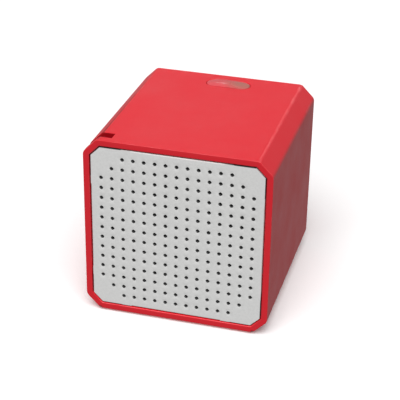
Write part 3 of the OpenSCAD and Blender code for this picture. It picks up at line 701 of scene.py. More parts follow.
# ---- Driver basket, gasket and screws ----
# The basket is pressed from zinc-plated sheet, with six vents. It sits on a ring of black foam and
# is held by four blackened self-tapping screws, whose washer heads overlap its flange.
gasket_edge_r = 0.12 * mm
basket_edge_r = 0.1 * mm
thread_pitch_screw = 0.75 * mm
thread_steps = 14
thread_h = 0.16 * mm
thread_from_head = 0.3 * mm
thread_from_tip = 0.7 * mm
screw_edge_r = 0.05 * mm
driver_head_h = 1.2 * mm
foam_black = (0.035, 0.035, 0.037)
zinc = (0.60, 0.60, 0.58)
black_zinc = (0.10, 0.10, 0.105)


def turned(profile, centre, axis="Y", steps=96, closed=True):
    """A bmesh turned round an axis from (radius, height along it) points. A profile that isn't
    closed makes a solid if both its ends are on the axis, or else a thin wall."""
    bm = bmesh.new()
    out_along = (lambda r, h: (r, h, 0)) if axis == "Y" else (lambda r, h: (r, 0, h))
    points = [bm.verts.new(out_along(r, h)) for r, h in profile]
    for a, b in zip(points, points[1:] + points[:1] if closed else points[1:]):
        bm.edges.new((a, b))
    spun = Vector((0, 1, 0)) if axis == "Y" else Vector((0, 0, 1))
    whole = bm.verts[:] + bm.edges[:]
    bmesh.ops.spin(bm, geom=whole, cent=(0, 0, 0), axis=spun, angle=2 * pi, steps=steps, use_merge=True)
    bmesh.ops.remove_doubles(bm, verts=bm.verts, dist=tiny / 5)
    bmesh.ops.recalc_face_normals(bm, faces=bm.faces)
    bmesh.ops.translate(bm, verts=bm.verts, vec=centre)
    return bm


def arc(centre, radius, start, end, steps=4):
    """Points on an arc in a profile, between two angles in degrees."""
    turns = [radians(start + (end - start) * i / steps) for i in range(steps + 1)]
    return [(centre[0] + radius * cos(a), centre[1] + radius * sin(a)) for a in turns]


def round_ring(inner, outer, front, rear, r):
    """The profile of a ring with four rounded corners."""
    return (
        arc((inner + r, front + r), r, 180, 270)
        + arc((outer - r, front + r), r, 270, 360)
        + arc((outer - r, rear - r), r, 0, 90)
        + arc((inner + r, rear - r), r, 90, 180)
    )


def round_disc(outer, front, rear, r):
    """The profile of a solid disc with two rounded rims."""
    rims = arc((outer - r, front + r), r, 270, 360) + arc((outer - r, rear - r), r, 0, 90)
    return [(0, front)] + rims + [(0, rear)]


def radii(node):
    """A turned node's outer radius, and its front and rear in Y."""
    low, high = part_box(node)
    return high.x, low.y, high.y


def from_axis(co):
    """How far a point is from the driver's axis."""
    return sqrt(co.x**2 + (co.z - axis_z) ** 2)


def spokes(node):
    """How far each of a node's points is from the driver's axis."""
    return [from_axis(v.co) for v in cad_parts[node].data.vertices]


on_axis = Vector((0, 0, axis_z))
gasket_out, gasket_front, gasket_rear = radii("driver_gasket")
hole_in = min(spokes("driver_gasket"))
profile = round_ring(hole_in, gasket_out, gasket_front, gasket_rear, gasket_edge_r)
foam, tree, shader = start_material("closed_foam", foam_black, 0.9, specular=0.2)
cells = use_group(tree, grain, Size=0.18 * mm, Pits=1.0)["Height"]
tint(tree, shader, cells, tuple(c / 3 for c in foam_black), tuple(c * 1.5 for c in foam_black))
uneven_shine(tree, shader, (0.8, 1.0))
bump(tree, shader, cells, 0.05 * mm)
place(turned(profile, on_axis), "gasket_foam", "enclosure", foam, ["driver_gasket"])

# Fine marks of rolling, turning or brushing, as a height: Round 0 leaves them straight, and Round 1
# runs them round the driver's axis
brushed, given, out = new_group("brushed", {"Pitch": 0.05 * mm, "Round": 0.0}, ["Height"])
on_piece = add(brushed, "ShaderNodeTexCoord").outputs["Object"]
spot = add(brushed, "ShaderNodeSeparateXYZ", {0: on_piece}).outputs
up = maths(brushed, "SUBTRACT", spot["Z"], axis_z)
flat = add(brushed, "ShaderNodeCombineXYZ", {"X": spot["X"], "Y": up}).outputs[0]
radius_at = add(brushed, "ShaderNodeVectorMath", {0: flat}, operation="LENGTH").outputs["Value"]
across = add(brushed, "ShaderNodeMix", {0: given["Round"], 2: spot["X"], 3: radius_at}).outputs[0]
per_metre = maths(brushed, "DIVIDE", 1.0, given["Pitch"])
sockets = {"W": across, "Scale": per_metre, "Detail": 3.0}
line = add(brushed, "ShaderNodeTexNoise", sockets, noise_dimensions="1D")
brushed.links.new(line.outputs["Fac"], out["Height"])


def metal(name, colour, shine, pitch=0.05 * mm, depth=0.002 * mm, round_marks=0.0, dull=0.75):
    """Bare or plated metal: marks of its making, patches of duller colour, and uneven shine."""
    material, tree, shader = start_material(name, colour, shine[0], metallic=1.0)
    cloud = patchy(tree, 1.5 * mm, 4.0, 0.6, low=0.35, high=0.7)
    tint(tree, shader, cloud, colour, tuple(c * dull for c in colour))
    uneven_shine(tree, shader, shine, patch=2 * mm)
    marks = use_group(tree, brushed, Pitch=pitch, Round=round_marks)["Height"]
    bump(tree, shader, marks, depth)
    return material


pressed = metal("pressed_zinc", zinc, shine=(0.3, 0.45), round_marks=1.0)
bm = eased("driver_basket", basket_edge_r)
basket = place(bm, "basket_pressing", "enclosure", pressed, ["driver_basket"])
keep_flats_flat(basket)


def islands(bm):
    """The separate solids in a bmesh, each as its list of vertices."""
    left, found = set(bm.verts), []
    while left:
        solid, edge_of = set(), [left.pop()]
        while edge_of:
            v = edge_of.pop()
            solid.add(v)
            near = {e.other_vert(v) for e in v.link_edges} - solid
            edge_of += [n for n in near if n in left]
            left -= near
        found.append(list(solid))
    return found


def add_thread(bm, root, core_r, from_y, to_y, right):
    """A ridge that winds round a screw's shank along Y, as a closed strip."""
    turns = abs(to_y - from_y) / thread_pitch_screw - 0.5
    step = (to_y - from_y) / abs(to_y - from_y) * thread_pitch_screw / thread_steps
    half = thread_pitch_screw * 0.28
    corners = [(core_r - thread_h / 2, -half), (core_r + thread_h, 0), (core_r - thread_h / 2, half)]
    face = bm.faces.new([bm.verts.new((root.x + r, from_y + h, root.z)) for r, h in corners])
    before = set(bm.verts) - set(face.verts)
    bmesh.ops.spin(
        bm,
        geom=[face, *face.verts, *face.edges],
        cent=(root.x, 0, root.z),
        axis=(0, 1, 0),
        dvec=(0, step, 0),
        angle=2 * pi * turns * right,
        steps=int(turns * thread_steps),
    )
    ridge = [v for v in bm.verts if v not in before]
    bmesh.ops.recalc_face_normals(bm, faces=list({f for v in ridge for f in v.link_faces}))


def threaded(node, radius, head_room):
    """Copies of a node's screws with eased heads, a thinner shank with a thread, and a point."""
    bm = merged_copy(node)
    soften(bm, edges_where(bm, anywhere, 30), radius, 2)
    for solid in islands(bm):
        ys = [v.co.y for v in solid]
        head_in_front = sum(ys) / len(ys) < (min(ys) + max(ys)) / 2
        head, tip = (min(ys), max(ys)) if head_in_front else (max(ys), min(ys))
        way = 1 if tip > head else -1
        middle = sum((v.co for v in solid), Vector()) / len(solid)
        root = Vector((middle.x, 0, middle.z))
        shank = [v for v in solid if (v.co.y - head) * way > head_room]
        shank_r = max(sqrt((v.co.x - root.x) ** 2 + (v.co.z - root.z) ** 2) for v in shank)
        core = (shank_r - thread_h) / shank_r
        for v in shank:
            near_tip = abs(v.co.y - tip) < 3 * radius
            grow = core * (0.35 if near_tip else 1)
            v.co.x = root.x + (v.co.x - root.x) * grow
            v.co.z = root.z + (v.co.z - root.z) * grow
        from_y = head + way * (head_room + thread_from_head)
        add_thread(bm, root, shank_r * core, from_y, tip - way * thread_from_tip, way)
    return bm


screw_steel = metal("black_zinc", black_zinc, shine=(0.3, 0.5), dull=0.6)
bm = threaded("driver_screws", screw_edge_r, driver_head_h)
place(bm, "driver_screw_set", "enclosure", screw_steel, ["driver_screws"])


# ---- Surround ----
# A half roll of soft black rubber, moulded in one piece with its two flat lips. The outer lip is
# glued to the basket's flange and the inner one to the cone, so the roll bends as the cone moves.
rubber_black = (0.022, 0.022, 0.023)
roll_steps = 24
soft_wall = 0.22 * mm
outer_lip_w = 1.9 * mm
inner_lip_w = 0.8 * mm
roll_root = 0.15 * mm

surround_r, roll_front, _ = radii("surround")
flange_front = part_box("driver_basket")[0].y
cone_r, cone_front, cone_rear = radii("cone")
lip_in_r = min(spokes("surround"))
roll_h = flange_front - roll_front - soft_wall / 2
roll_mid_r = (surround_r - outer_lip_w + lip_in_r + inner_lip_w) / 2
roll_half = surround_r - outer_lip_w - roll_mid_r
inner_y = cone_front - soft_wall / 2
outer_y = flange_front - soft_wall / 2
roll = [
    (roll_mid_r + roll_half * cos(a), outer_y - (roll_h - soft_wall / 2) * sin(a) ** 0.8)
    for a in (pi * i / roll_steps for i in range(1, roll_steps))
]
half_way = len(roll) // 2
roll = roll[:half_way] + [
    (r, y + (inner_y - outer_y) * (i / (len(roll) - half_way)) ** 2)
    for i, (r, y) in enumerate(roll[half_way:])
]


def flexes(piece, thickness, outer_r, inner_r):
    """Gives a ring its wall, and lets it bend from the enclosure outside to the cone inside."""
    wall = piece.modifiers.new("wall", "SOLIDIFY")
    wall.thickness = thickness
    wall.offset = 0
    start, end = on_axis + Vector((outer_r, 0, 0)), on_axis + Vector((inner_r, 0, 0))
    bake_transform(piece, "enclosure", "diaphragm", start=start, end=end)
    shares = piece.data.attributes["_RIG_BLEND"].data
    for v, share in zip(piece.data.vertices, shares):
        t = min(1, max(0, (outer_r - from_axis(v.co)) / (outer_r - inner_r)))
        share.value = t * t * (3 - 2 * t)


outer_lip = [(surround_r, outer_y), (roll_mid_r + roll_half + roll_root, outer_y)]
inner_lip = [(roll_mid_r - roll_half - roll_root, inner_y), (lip_in_r, inner_y)]
rubber = moulded(
    "soft_rubber",
    rubber_black,
    (0.06, 0.06, 0.06),
    shine=(0.5, 0.68),
    size=0.12 * mm,
    depth=0.008 * mm,
    wear=0.2,
)
bm = turned(outer_lip + roll + inner_lip, on_axis, steps=120, closed=False)
surround = place(bm, "surround_roll", None, rubber, ["surround"], crease=60)
flexes(surround, soft_wall, roll_mid_r + roll_half, roll_mid_r - roll_half)


# ---- Cone, dust cap, former and voice coil ----
# The cone is pressed from dark paper pulp and the cap from coated fabric film. Both are glued to
# the former, a tube of thin amber film that carries a coil of fine enamelled copper wire.
paper = (0.05, 0.05, 0.052)
film = (0.04, 0.042, 0.045)
amber = (0.45, 0.19, 0.035)
copper = (0.72, 0.28, 0.12)
wire_d = 0.16 * mm
cone_curve = 0.12 * mm
cone_steps = 10
cone_wall = 0.3 * mm
rim_cut = 0.05 * mm
cap_wall = 0.2 * mm
dome_steps = 14
former_wall = 0.1 * mm
film_edge_r = 0.02 * mm

former_r = radii("coil_former")[0]
neck_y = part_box("coil_former")[0].y
face = []
for i in range(cone_steps + 1):
    t = i / cone_steps
    r = lip_in_r + (former_r - lip_in_r) * t
    face.append((r, cone_front + (neck_y - cone_front) * t - cone_curve * sin(pi * t)))
back = [(r + cone_wall * 0.6 * (i / cone_steps), y + cone_wall * 0.9) for i, (r, y) in enumerate(face)]
profile = (
    [(cone_r, cone_front + rim_cut), (cone_r - rim_cut, cone_front)]
    + face
    + [(former_r, cone_rear), (former_r + cone_wall, cone_rear)]
    + back[::-1]
    + [(cone_r - rim_cut, cone_front + cone_wall), (cone_r, cone_front + cone_wall - rim_cut)]
)
cone_paper, tree, shader = start_material("pressed_paper", paper, 0.85, specular=0.2)
fibres = noise(tree, 0.5 * mm, 8.0, 0.75)
tint(tree, shader, spread(tree, fibres, 0.4, 0.65, 0.0, 1.0), paper, (0.12, 0.115, 0.105))
uneven_shine(tree, shader, (0.75, 0.95))
rings = use_group(tree, brushed, Pitch=0.35 * mm, Round=1.0)["Height"]
pulp = maths(tree, "ADD", rings, fibres)
bump(tree, shader, pulp, 0.03 * mm)
bm = turned(profile, on_axis, steps=120)
place(bm, "cone_paper", "diaphragm", cone_paper, ["cone"])

cap_r, cap_front, cap_rear = radii("dust_cap")
cap_h = cap_rear - cap_front
ball = (cap_r**2 + cap_h**2) / (2 * cap_h)
half_turn = 90 - degrees(atan2(ball - cap_h, cap_r))
dome = arc((0, cap_front + ball), ball, 270, 270 + half_turn, dome_steps)
inside = arc((0, cap_front + ball), ball - cap_wall, 270 + half_turn, 270, dome_steps)
cap_film = woven(
    "coated_film",
    film,
    tuple(c * 1.8 for c in film),
    pitch=0.2 * mm,
    depth=0.01 * mm,
    stiffening=0.5,
)
bm = turned([(0, dome[0][1])] + dome[1:] + inside[:-1] + [(0, inside[-1][1])], on_axis, closed=False)
place(bm, "dust_cap_dome", "diaphragm", cap_film, ["dust_cap"], crease=50)

former_out, former_front, former_rear = radii("coil_former")
profile = round_ring(former_out - former_wall, former_out, former_front, former_rear, film_edge_r)
amber_film, tree, shader = start_material("amber_film", amber, 0.25)
streak = patchy(tree, 1.2 * mm, 3.0)
tint(tree, shader, streak, amber, (0.30, 0.11, 0.02))
fine_skin(tree, shader, (0.2, 0.35), size=0.4 * mm, depth=0.004 * mm)
place(turned(profile, on_axis), "former_tube", "diaphragm", amber_film, ["coil_former"])

coil_out, coil_front, coil_rear = radii("voice_coil")
wires = round((coil_rear - coil_front) / wire_d)
wire_r = (coil_rear - coil_front) / wires / 2
bumps = []
for i in range(wires):
    bumps += arc((coil_out - wire_r, coil_front + wire_r * (2 * i + 1)), wire_r, -75, 75, 3)
profile = [(former_out, coil_front + film_edge_r)] + bumps + [(former_out, coil_rear - film_edge_r)]
enamel, tree, shader = start_material("enamelled_copper", copper, 0.25, metallic=1.0)
tint(tree, shader, patchy(tree, 0.8 * mm), copper, (0.55, 0.17, 0.06))
fine_skin(tree, shader, (0.2, 0.35), size=0.1 * mm, depth=0.004 * mm)
bm = turned(profile, on_axis)
place(bm, "coil_winding", "diaphragm", enamel, ["voice_coil"], crease=60)


# ---- Spider ----
# A ring of amber cloth, stiffened with resin and pressed into three waves. It is glued to the
# former and to the basket's shelf, and keeps the coil in the middle of its gap.
spider_amber = (0.42, 0.22, 0.06)
waves = 3
wave_h = 0.2 * mm
spider_steps = 36
spider_flat = 0.9 * mm
spider_t = 0.25 * mm
cloth_wall = 0.2 * mm
hub_from_neck = 1.0 * mm
hub_gap = 0.02 * mm
hub_grip = 0.3 * mm

spider_r, _, spider_rear = radii("spider")
shelf_y = spider_rear - spider_t / 2
hub_y = neck_y + hub_from_neck + spider_t / 2
profile = [(spider_r, shelf_y)]
for i in range(spider_steps + 1):
    t = 1 - i / spider_steps
    r = former_out + hub_gap + (spider_r - spider_flat - former_out) * t
    profile.append((r, hub_y + (shelf_y - hub_y) * t + wave_h * sin(2 * pi * waves * t)))
spider_cloth = woven(
    "resin_cloth", spider_amber, (0.6, 0.36, 0.13), pitch=0.3 * mm, depth=0.03 * mm, stiffening=0.7
)
bm = turned(profile, on_axis, steps=120, closed=False)
spider = place(bm, "spider_ring", None, spider_cloth, ["spider"], crease=60)
flexes(spider, cloth_wall, spider_r - spider_flat, former_out + hub_grip)


# ---- Motor: pole plate, magnet and steel cup ----
# A nickel-plated rare-earth disc stands in a pressed steel cup, glued under a turned steel plate.
# The coil hangs in the gap between the plate and the cup.
nickel = (0.68, 0.67, 0.63)
plate_steel = (0.56, 0.56, 0.57)
plate_edge_r = 0.15 * mm
cup_edge_r = 0.5 * mm
cup_t = 1.4 * mm

plate_out, plate_front, plate_rear = radii("pole_plate")
turned_steel = metal(
    "turned_steel",
    plate_steel,
    shine=(0.22, 0.36),
    pitch=0.08 * mm,
    depth=0.004 * mm,
    round_marks=1.0,
)
bm = turned(round_disc(plate_out, plate_front, plate_rear, plate_edge_r), on_axis, closed=False)
place(bm, "pole_disc", "enclosure", turned_steel, ["pole_plate"])

disc_out, disc_front, disc_rear = radii("magnet")
nickel_plate = metal("nickel_plate", nickel, shine=(0.12, 0.25), depth=0.001 * mm, dull=0.85)
bm = turned(round_disc(disc_out, disc_front, disc_rear, 2 * plate_edge_r), on_axis, closed=False)
place(bm, "magnet_disc", "enclosure", nickel_plate, ["magnet"])

cup_out, cup_front, cup_rear = radii("yoke")
bore = cup_out - cup_t
profile = (
    [(0, cup_rear - cup_t), (bore - cup_edge_r, cup_rear - cup_t)]
    + arc((bore - cup_edge_r, cup_rear - cup_t - cup_edge_r), cup_edge_r, 90, 0)
    + arc((bore + plate_edge_r, cup_front + plate_edge_r), plate_edge_r, 180, 270)
    + arc((cup_out - plate_edge_r, cup_front + plate_edge_r), plate_edge_r, 270, 360)
    + arc((cup_out - cup_edge_r, cup_rear - cup_edge_r), cup_edge_r, 0, 90)
    + [(0, cup_rear)]
)
bm = turned(profile, on_axis, closed=False)
place(bm, "magnet_cup", "enclosure", pressed, ["yoke"])


# ---- Terminals and leads ----
# Two tinned lugs on a strip of brown laminate, riveted behind the basket. Leads in soft red and
# black sleeves are soldered to them, to the cell's board and to the microphone.
laminate = (0.16, 0.065, 0.025)
tin = (0.66, 0.66, 0.64)
sleeve_red = (0.55, 0.02, 0.02)
strip_edge_r = 0.06 * mm
lug_half = 0.7 * mm
lug_t = 0.3 * mm
solder_r = 0.35 * mm
solder_h = 0.3 * mm

brown_board, tree, shader = start_material("brown_laminate", laminate, 0.5)
layers = noise(tree, 0.6 * mm, 6.0, 0.7)
tint(tree, shader, spread(tree, layers, 0.35, 0.65, 0.0, 1.0), laminate, (0.26, 0.12, 0.05))
uneven_shine(tree, shader, (0.4, 0.6))
bump(tree, shader, layers, 0.01 * mm)
bm = eased("terminal_board", strip_edge_r)
place(bm, "terminal_strip", "enclosure", brown_board, ["terminal_board"])


def join_in(bm, other):
    """Moves another bmesh's contents into this one."""
    mesh = bpy.data.meshes.new("joined")
    other.to_mesh(mesh)
    other.free()
    bm.from_mesh(mesh)
    bpy.data.meshes.remove(mesh)


def add_solder(bm, at):
    """A small cone of solder with a hollow flank, round a lead's end, pointing to the rear."""
    flank = [(solder_r * ((1 - t) ** 1.6 + 0.35), solder_h * t) for t in (0, 0.2, 0.45, 0.75, 1)]
    made = turned([(0, 0)] + flank + [(0, solder_h)], (0, 0, 0), "Z", 14, closed=False)
    bmesh.ops.rotate(made, verts=made.verts, matrix=Matrix.Rotation(-pi / 2, 3, "X"))
    bmesh.ops.translate(made, verts=made.verts, vec=at)
    join_in(bm, made)


tinned = metal("tinned_metal", tin, shine=(0.22, 0.4), dull=0.8)
bm = eased("terminal_lugs", strip_edge_r)
low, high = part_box("terminal_lugs")
for side in (-1, 1):
    add_solder(bm, (side * (high.x - lug_half), low.y + lug_t, (low.z + high.z) / 2))
place(bm, "terminal_lug_pair", "enclosure", tinned, ["terminal_lugs"])

sleeve, tree, shader = start_material("lead_sleeve", sleeve_red, 0.4)
lead_dark = marked(tree, "dark_lead")
tint(tree, shader, lead_dark, sleeve_red, (0.02, 0.02, 0.02))
fine_skin(tree, shader, (0.35, 0.5), size=0.15 * mm, depth=0.006 * mm)


def sleeved(node, name):
    """A pair of leads: the CAD route made round, the left one in a red sleeve, the right in black."""
    bm = bmesh.new()
    bm.from_mesh(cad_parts[node].data)
    bmesh.ops.remove_doubles(bm, verts=bm.verts, dist=weld)
    bmesh.ops.dissolve_limit(bm, angle_limit=radians(3), verts=bm.verts, edges=bm.edges)
    dark = bm.verts.layers.float.new("dark_lead")
    middle = sum(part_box(node), Vector()).x / 2
    for v in bm.verts:
        v[dark] = float(v.co.x > middle)
    piece = place(bm, name, "enclosure", sleeve, [node], crease=70)
    rounder = piece.modifiers.new("rounder", "SUBSURF")
    rounder.levels = rounder.render_levels = 1


sleeved("speaker_leads", "speaker_lead_pair")
sleeved("battery_leads", "battery_lead_pair")
sleeved("microphone_leads", "microphone_lead_pair")


# ---- Battery ----
# A pouch cell in creased aluminium film, its side seams folded against it. It lies on white foam
# tape between two ribs, and has a small green board along its rear end.
foil = (0.64, 0.65, 0.67)
foam_white = (0.80, 0.80, 0.78)
seam_t = 0.14 * mm
seam_half_h = 1.1 * mm
cell_edge_r = 0.45 * mm
seam_share = 0.94
foam_edge_r = 0.15 * mm
crease_size = 3.5 * mm
crease_depth = 0.15 * mm


def add_box(bm, middle, size):
    """Adds a box and returns its vertices."""
    box = bmesh.ops.create_cube(bm, size=1)["verts"]
    bmesh.ops.scale(bm, verts=box, vec=size)
    bmesh.ops.translate(bm, verts=box, vec=middle)
    return box


low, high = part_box("battery_cell")
bm = merged_copy("battery_cell")
soften(bm, edges_where(bm, anywhere, 50), cell_edge_r, 3)
squeeze = (high.x - seam_t) / high.x
bmesh.ops.scale(bm, verts=bm.verts, vec=(squeeze, 1, 1))
for side in (-1, 1):
    size = Vector((seam_t, (high.y - low.y) * seam_share, 2 * seam_half_h))
    middle = Vector((side * (high.x - seam_t / 2), (low.y + high.y) / 2, (low.z + high.z) / 2))
    flap = add_box(bm, middle, size)
    flap_edges = list({e for v in flap for e in v.link_edges})
    soften(bm, flap_edges, seam_t / 4, 2)
cell_film, tree, shader = start_material("pouch_film", foil, 0.35, metallic=1.0)
creases = noise(tree, crease_size, 6.0, 0.6)
tint(tree, shader, spread(tree, creases, 0.3, 0.7, 0.0, 1.0), foil, tuple(c * 0.85 for c in foil))
uneven_shine(tree, shader, (0.28, 0.45), patch=4 * mm)
bump(tree, shader, creases, crease_depth)
cell = place(bm, "pouch_cell", "enclosure", cell_film, ["battery_cell"], crease=40)
keep_flats_flat(cell)

white_foam, tree, shader = start_material("white_foam", foam_white, 0.9, specular=0.2)
cells = use_group(tree, grain, Size=0.25 * mm, Pits=1.0)["Height"]
tint(tree, shader, cells, tuple(c * 0.75 for c in foam_white), foam_white)
uneven_shine(tree, shader, (0.8, 1.0))
bump(tree, shader, cells, 0.06 * mm)
bm = eased("battery_tape", foam_edge_r, 3)
place(bm, "cell_foam_tape", "enclosure", white_foam, ["battery_tape"])


# ---- Boards ----
# Glass-fibre boards with green solder mask over copper tracks, and tinned pads where parts are
# soldered. The main board slides into the rails on the side walls.
mask_green = (0.012, 0.11, 0.035)
track_green = (0.03, 0.19, 0.06)
pad_t = 0.04 * mm
track_cell = 2.2 * mm
board_edge_r = 0.05 * mm
guard_pads_x = (-4.6 * mm, -3.2 * mm)
guard_pad = (1.1 * mm, pad_t, 1.6 * mm)

board_green, tree, shader = start_material("green_board", mask_green, 0.3)
spot = add(tree, "ShaderNodeTexCoord").outputs["Object"]
squares = add(
    tree,
    "ShaderNodeTexVoronoi",
    {"Vector": spot, "Scale": 1 / track_cell, "Randomness": 0.7},
    distance="CHEBYCHEV",
    feature="F2",
).outputs["Distance"]
lines = maths(tree, "PINGPONG", squares, 0.12)
tracks = spread(tree, lines, 0.055, 0.065, 0.0, 1.0)
coloured = tint(tree, shader, tracks, mask_green, track_green)
bare_at = marked(tree, "bare_metal")
tint(tree, shader, bare_at, coloured, tin)
tree.links.new(bare_at, shader.inputs["Metallic"])
uneven_shine(tree, shader, (0.25, 0.4))
bump(tree, shader, tracks, 0.02 * mm)


def add_pads(bm, places, size, bare):
    """Tinned pads, as thin raised boxes, each given by its middle; they are marked as bare metal."""
    for middle in places:
        for v in add_box(bm, middle, size):
            v[bare] = 1


def pads_round(node, per_side, pad_l, pad_w, height):
    """Middles and sizes of the pads along the four sides of a chip, at its foot."""
    low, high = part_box(node)
    middle, half = (low + high) / 2, (high - low) / 2
    rows = []
    for across, along in ((0, 1), (1, 0)):
        spots = []
        for side in (-1, 1):
            for i in range(per_side):
                spot_at = Vector((0, 0, low.z + height / 2))
                spot_at[across] = middle[across] + side * half[across]
                spot_at[along] = middle[along] + half[along] * 1.7 * ((i + 0.5) / per_side - 0.5)
                spots.append(spot_at)
        size = Vector((0, 0, height))
        size[across], size[along] = pad_l, pad_w
        rows.append((spots, size))
    return rows


bm = eased("main_board", board_edge_r)
bare = bm.verts.layers.float.new("bare_metal")
for node, per_side, pad_l, pad_w in (
    ("radio_module", 9, 0.7 * mm, 0.45 * mm),
    ("amplifier_chip", 5, 0.5 * mm, 0.28 * mm),
    ("charger_chip", 4, 0.5 * mm, 0.26 * mm),
):
    for spots, size in pads_round(node, per_side, pad_l, pad_w, 2 * pad_t):
        add_pads(bm, spots, size, bare)
place(bm, "main_board_panel", "enclosure", board_green, ["main_board"])

bm = eased("battery_guard_board", board_edge_r)
bare = bm.verts.layers.float.new("bare_metal")
low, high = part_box("battery_guard_board")
spots = [Vector((x, high.y - pad_t / 4, (low.z + high.z) / 2)) for x in guard_pads_x]
add_pads(bm, spots, guard_pad, bare)
place(bm, "guard_board_panel", "enclosure", board_green, ["battery_guard_board"])


# ---- Parts on the main board ----
# A radio module under a tinned can, two moulded chips with a dot at their first pin, a ceramic
# antenna, and four ceramic capacitors, all soldered to the board.
resin = (0.03, 0.03, 0.032)
ceramic = (0.78, 0.77, 0.72)
ceramic_brown = (0.42, 0.27, 0.14)
end_cap_l = 0.45 * mm
dot_r = 0.25 * mm
dot_from_corner = 0.6 * mm
dot_lift = 0.004 * mm
lid_rim_w = 0.45 * mm
lid_step = 0.08 * mm
lid_groove = 0.06 * mm
can_edge_r = 0.12 * mm
chip_edge_r = 0.06 * mm
block_edge_r = 0.09 * mm
core_in = 0.05 * mm

can_tin = metal("shield_can", tin, shine=(0.25, 0.4), dull=0.85)
bm = merged_copy("radio_module")
lid = [f for f in bm.faces if f.normal.z > 0.9]
for thickness, depth in ((lid_rim_w, 0), (lid_step, -lid_groove), (lid_step, lid_groove)):
    bmesh.ops.inset_region(bm, faces=lid, thickness=thickness, depth=depth)
soften(bm, edges_where(bm, anywhere, 60), can_edge_r, 3)
place(bm, "radio_can", "enclosure", can_tin, ["radio_module"])

black_resin = moulded(
    "chip_resin",
    resin,
    (0.05, 0.05, 0.05),
    shine=(0.5, 0.65),
    size=0.08 * mm,
    depth=0.006 * mm,
    wear=0.2,
)
for node in ("amplifier_chip", "charger_chip"):
    bm = eased(node, chip_edge_r)
    low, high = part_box(node)
    dot = Vector((low.x + dot_from_corner, low.y + dot_from_corner, high.z))
    ring = bmesh.ops.create_circle(bm, segments=16, radius=dot_r, cap_ends=True)["verts"]
    bmesh.ops.translate(bm, verts=ring, vec=dot + Vector((0, 0, dot_lift)))
    base = list({f for v in ring for f in v.link_faces})
    bmesh.ops.inset_region(bm, faces=base, thickness=dot_r / 4, depth=0)
    place(bm, node + "_body", "enclosure", black_resin, [node])


def capped_blocks(node, name, colour, other):
    """Ceramic blocks with tinned caps over both ends of their longest side."""
    material, tree, shader = start_material(name + "_ceramic", colour, 0.35)
    speckle = patchy(tree, 0.25 * mm, 4.0, low=0.35, high=0.65)
    body = tint(tree, shader, speckle, colour, other)
    capped = marked(tree, "bare_metal")
    tint(tree, shader, capped, body, tin)
    tree.links.new(capped, shader.inputs["Metallic"])
    fine_skin(tree, shader, (0.28, 0.45), size=0.1 * mm, depth=0.006 * mm)
    source = merged_copy(node)
    blocks = []
    for solid in islands(source):
        corners = [[v.co[k] for v in solid] for k in range(3)]
        blocks.append((Vector([min(c) for c in corners]), Vector([max(c) for c in corners])))
    source.free()
    bm = bmesh.new()
    bare = bm.verts.layers.float.new("bare_metal")
    for low, high in blocks:
        size = high - low
        along = 0 if size.x > size.y else 1
        parts = [(low + Vector((core_in, core_in, 0)), high - Vector((core_in,) * 3), 0)]
        near, far = high.copy(), low.copy()
        near[along] = low[along] + end_cap_l
        far[along] = high[along] - end_cap_l
        parts += [(low, near, 1), (far, high, 1)]
        for a, b, is_bare in parts:
            block = add_box(bm, (a + b) / 2, b - a)
            for v in block:
                v[bare] = is_bare
            edges = list({e for v in block for e in v.link_edges})
            soften(bm, edges, block_edge_r, 2, worn=False)
    place(bm, name, "enclosure", material, [node])


capped_blocks("antenna", "antenna_block", ceramic, (0.70, 0.68, 0.62))
capped_blocks("capacitors", "capacitor_set", ceramic_brown, (0.5, 0.34, 0.2))


# ---- Lamp and light pipe ----
# A small side-facing lamp under the board's rear edge, and a clear moulded pin that carries its
# light through the rear cover. The pin's outer end is a low dome.
ceramic_body = (0.80, 0.80, 0.77)
clear_tint = (0.86, 0.87, 0.86)
lamp_edge_r = 0.08 * mm
lens_rim_w = 0.15 * mm
lens_depth = 0.08 * mm
pin_dome_r = 0.3 * mm
pin_edge_r = 0.06 * mm
pin_inside = 1.5 * mm

lamp_resin, tree, shader = start_material("lamp_body", ceramic_body, 0.3)
milky = patchy(tree, 0.6 * mm, 3.0)
tint(tree, shader, milky, ceramic_body, (0.72, 0.70, 0.60))
fine_skin(tree, shader, (0.2, 0.4), size=0.08 * mm, depth=0.004 * mm)
bm = eased("status_led", lamp_edge_r)
lens = [f for f in bm.faces if f.normal.y > 0.9]
bmesh.ops.inset_region(bm, faces=lens, thickness=lens_rim_w, depth=-lens_depth)
place(bm, "side_lamp", "enclosure", lamp_resin, ["status_led"])

frosted, tree, shader = start_material("frosted_clear", clear_tint, 0.25)
shader.inputs["Transmission Weight"].default_value = 0.6
shader.inputs["IOR"].default_value = 1.49
milky = patchy(tree, 0.5 * mm, 3.0)
tint(tree, shader, milky, clear_tint, (0.74, 0.75, 0.74))
fine_skin(tree, shader, (0.2, 0.35), size=0.1 * mm, depth=0.003 * mm)
bm = merged_copy("light_pipe")
pin_end_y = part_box("light_pipe")[1].y
soften(bm, edges_where(bm, lambda co: co.y > pin_end_y - tiny, 60), pin_dome_r, 5)
soften(bm, edges_where(bm, lambda co: co.y < cover_out_y - pin_inside, 60), pin_edge_r, 2)
place(bm, "light_pin", "enclosure", frosted, ["light_pipe"])


# ---- Charging socket ----
# A nickel-plated sheet shell with the socket's section, round a black plastic block whose tongue
# carries five gilt contacts.
contacts = 5
contact_pitch = 0.65 * mm
contact_w = 0.32 * mm
contact_t = 0.05 * mm
contact_l = 3.2 * mm
contact_from_mouth = 1.85 * mm
shell_corner_r = 0.28 * mm
mouth_edge_r = 0.07 * mm
black = (0.018, 0.018, 0.019)
gold = (0.80, 0.55, 0.20)

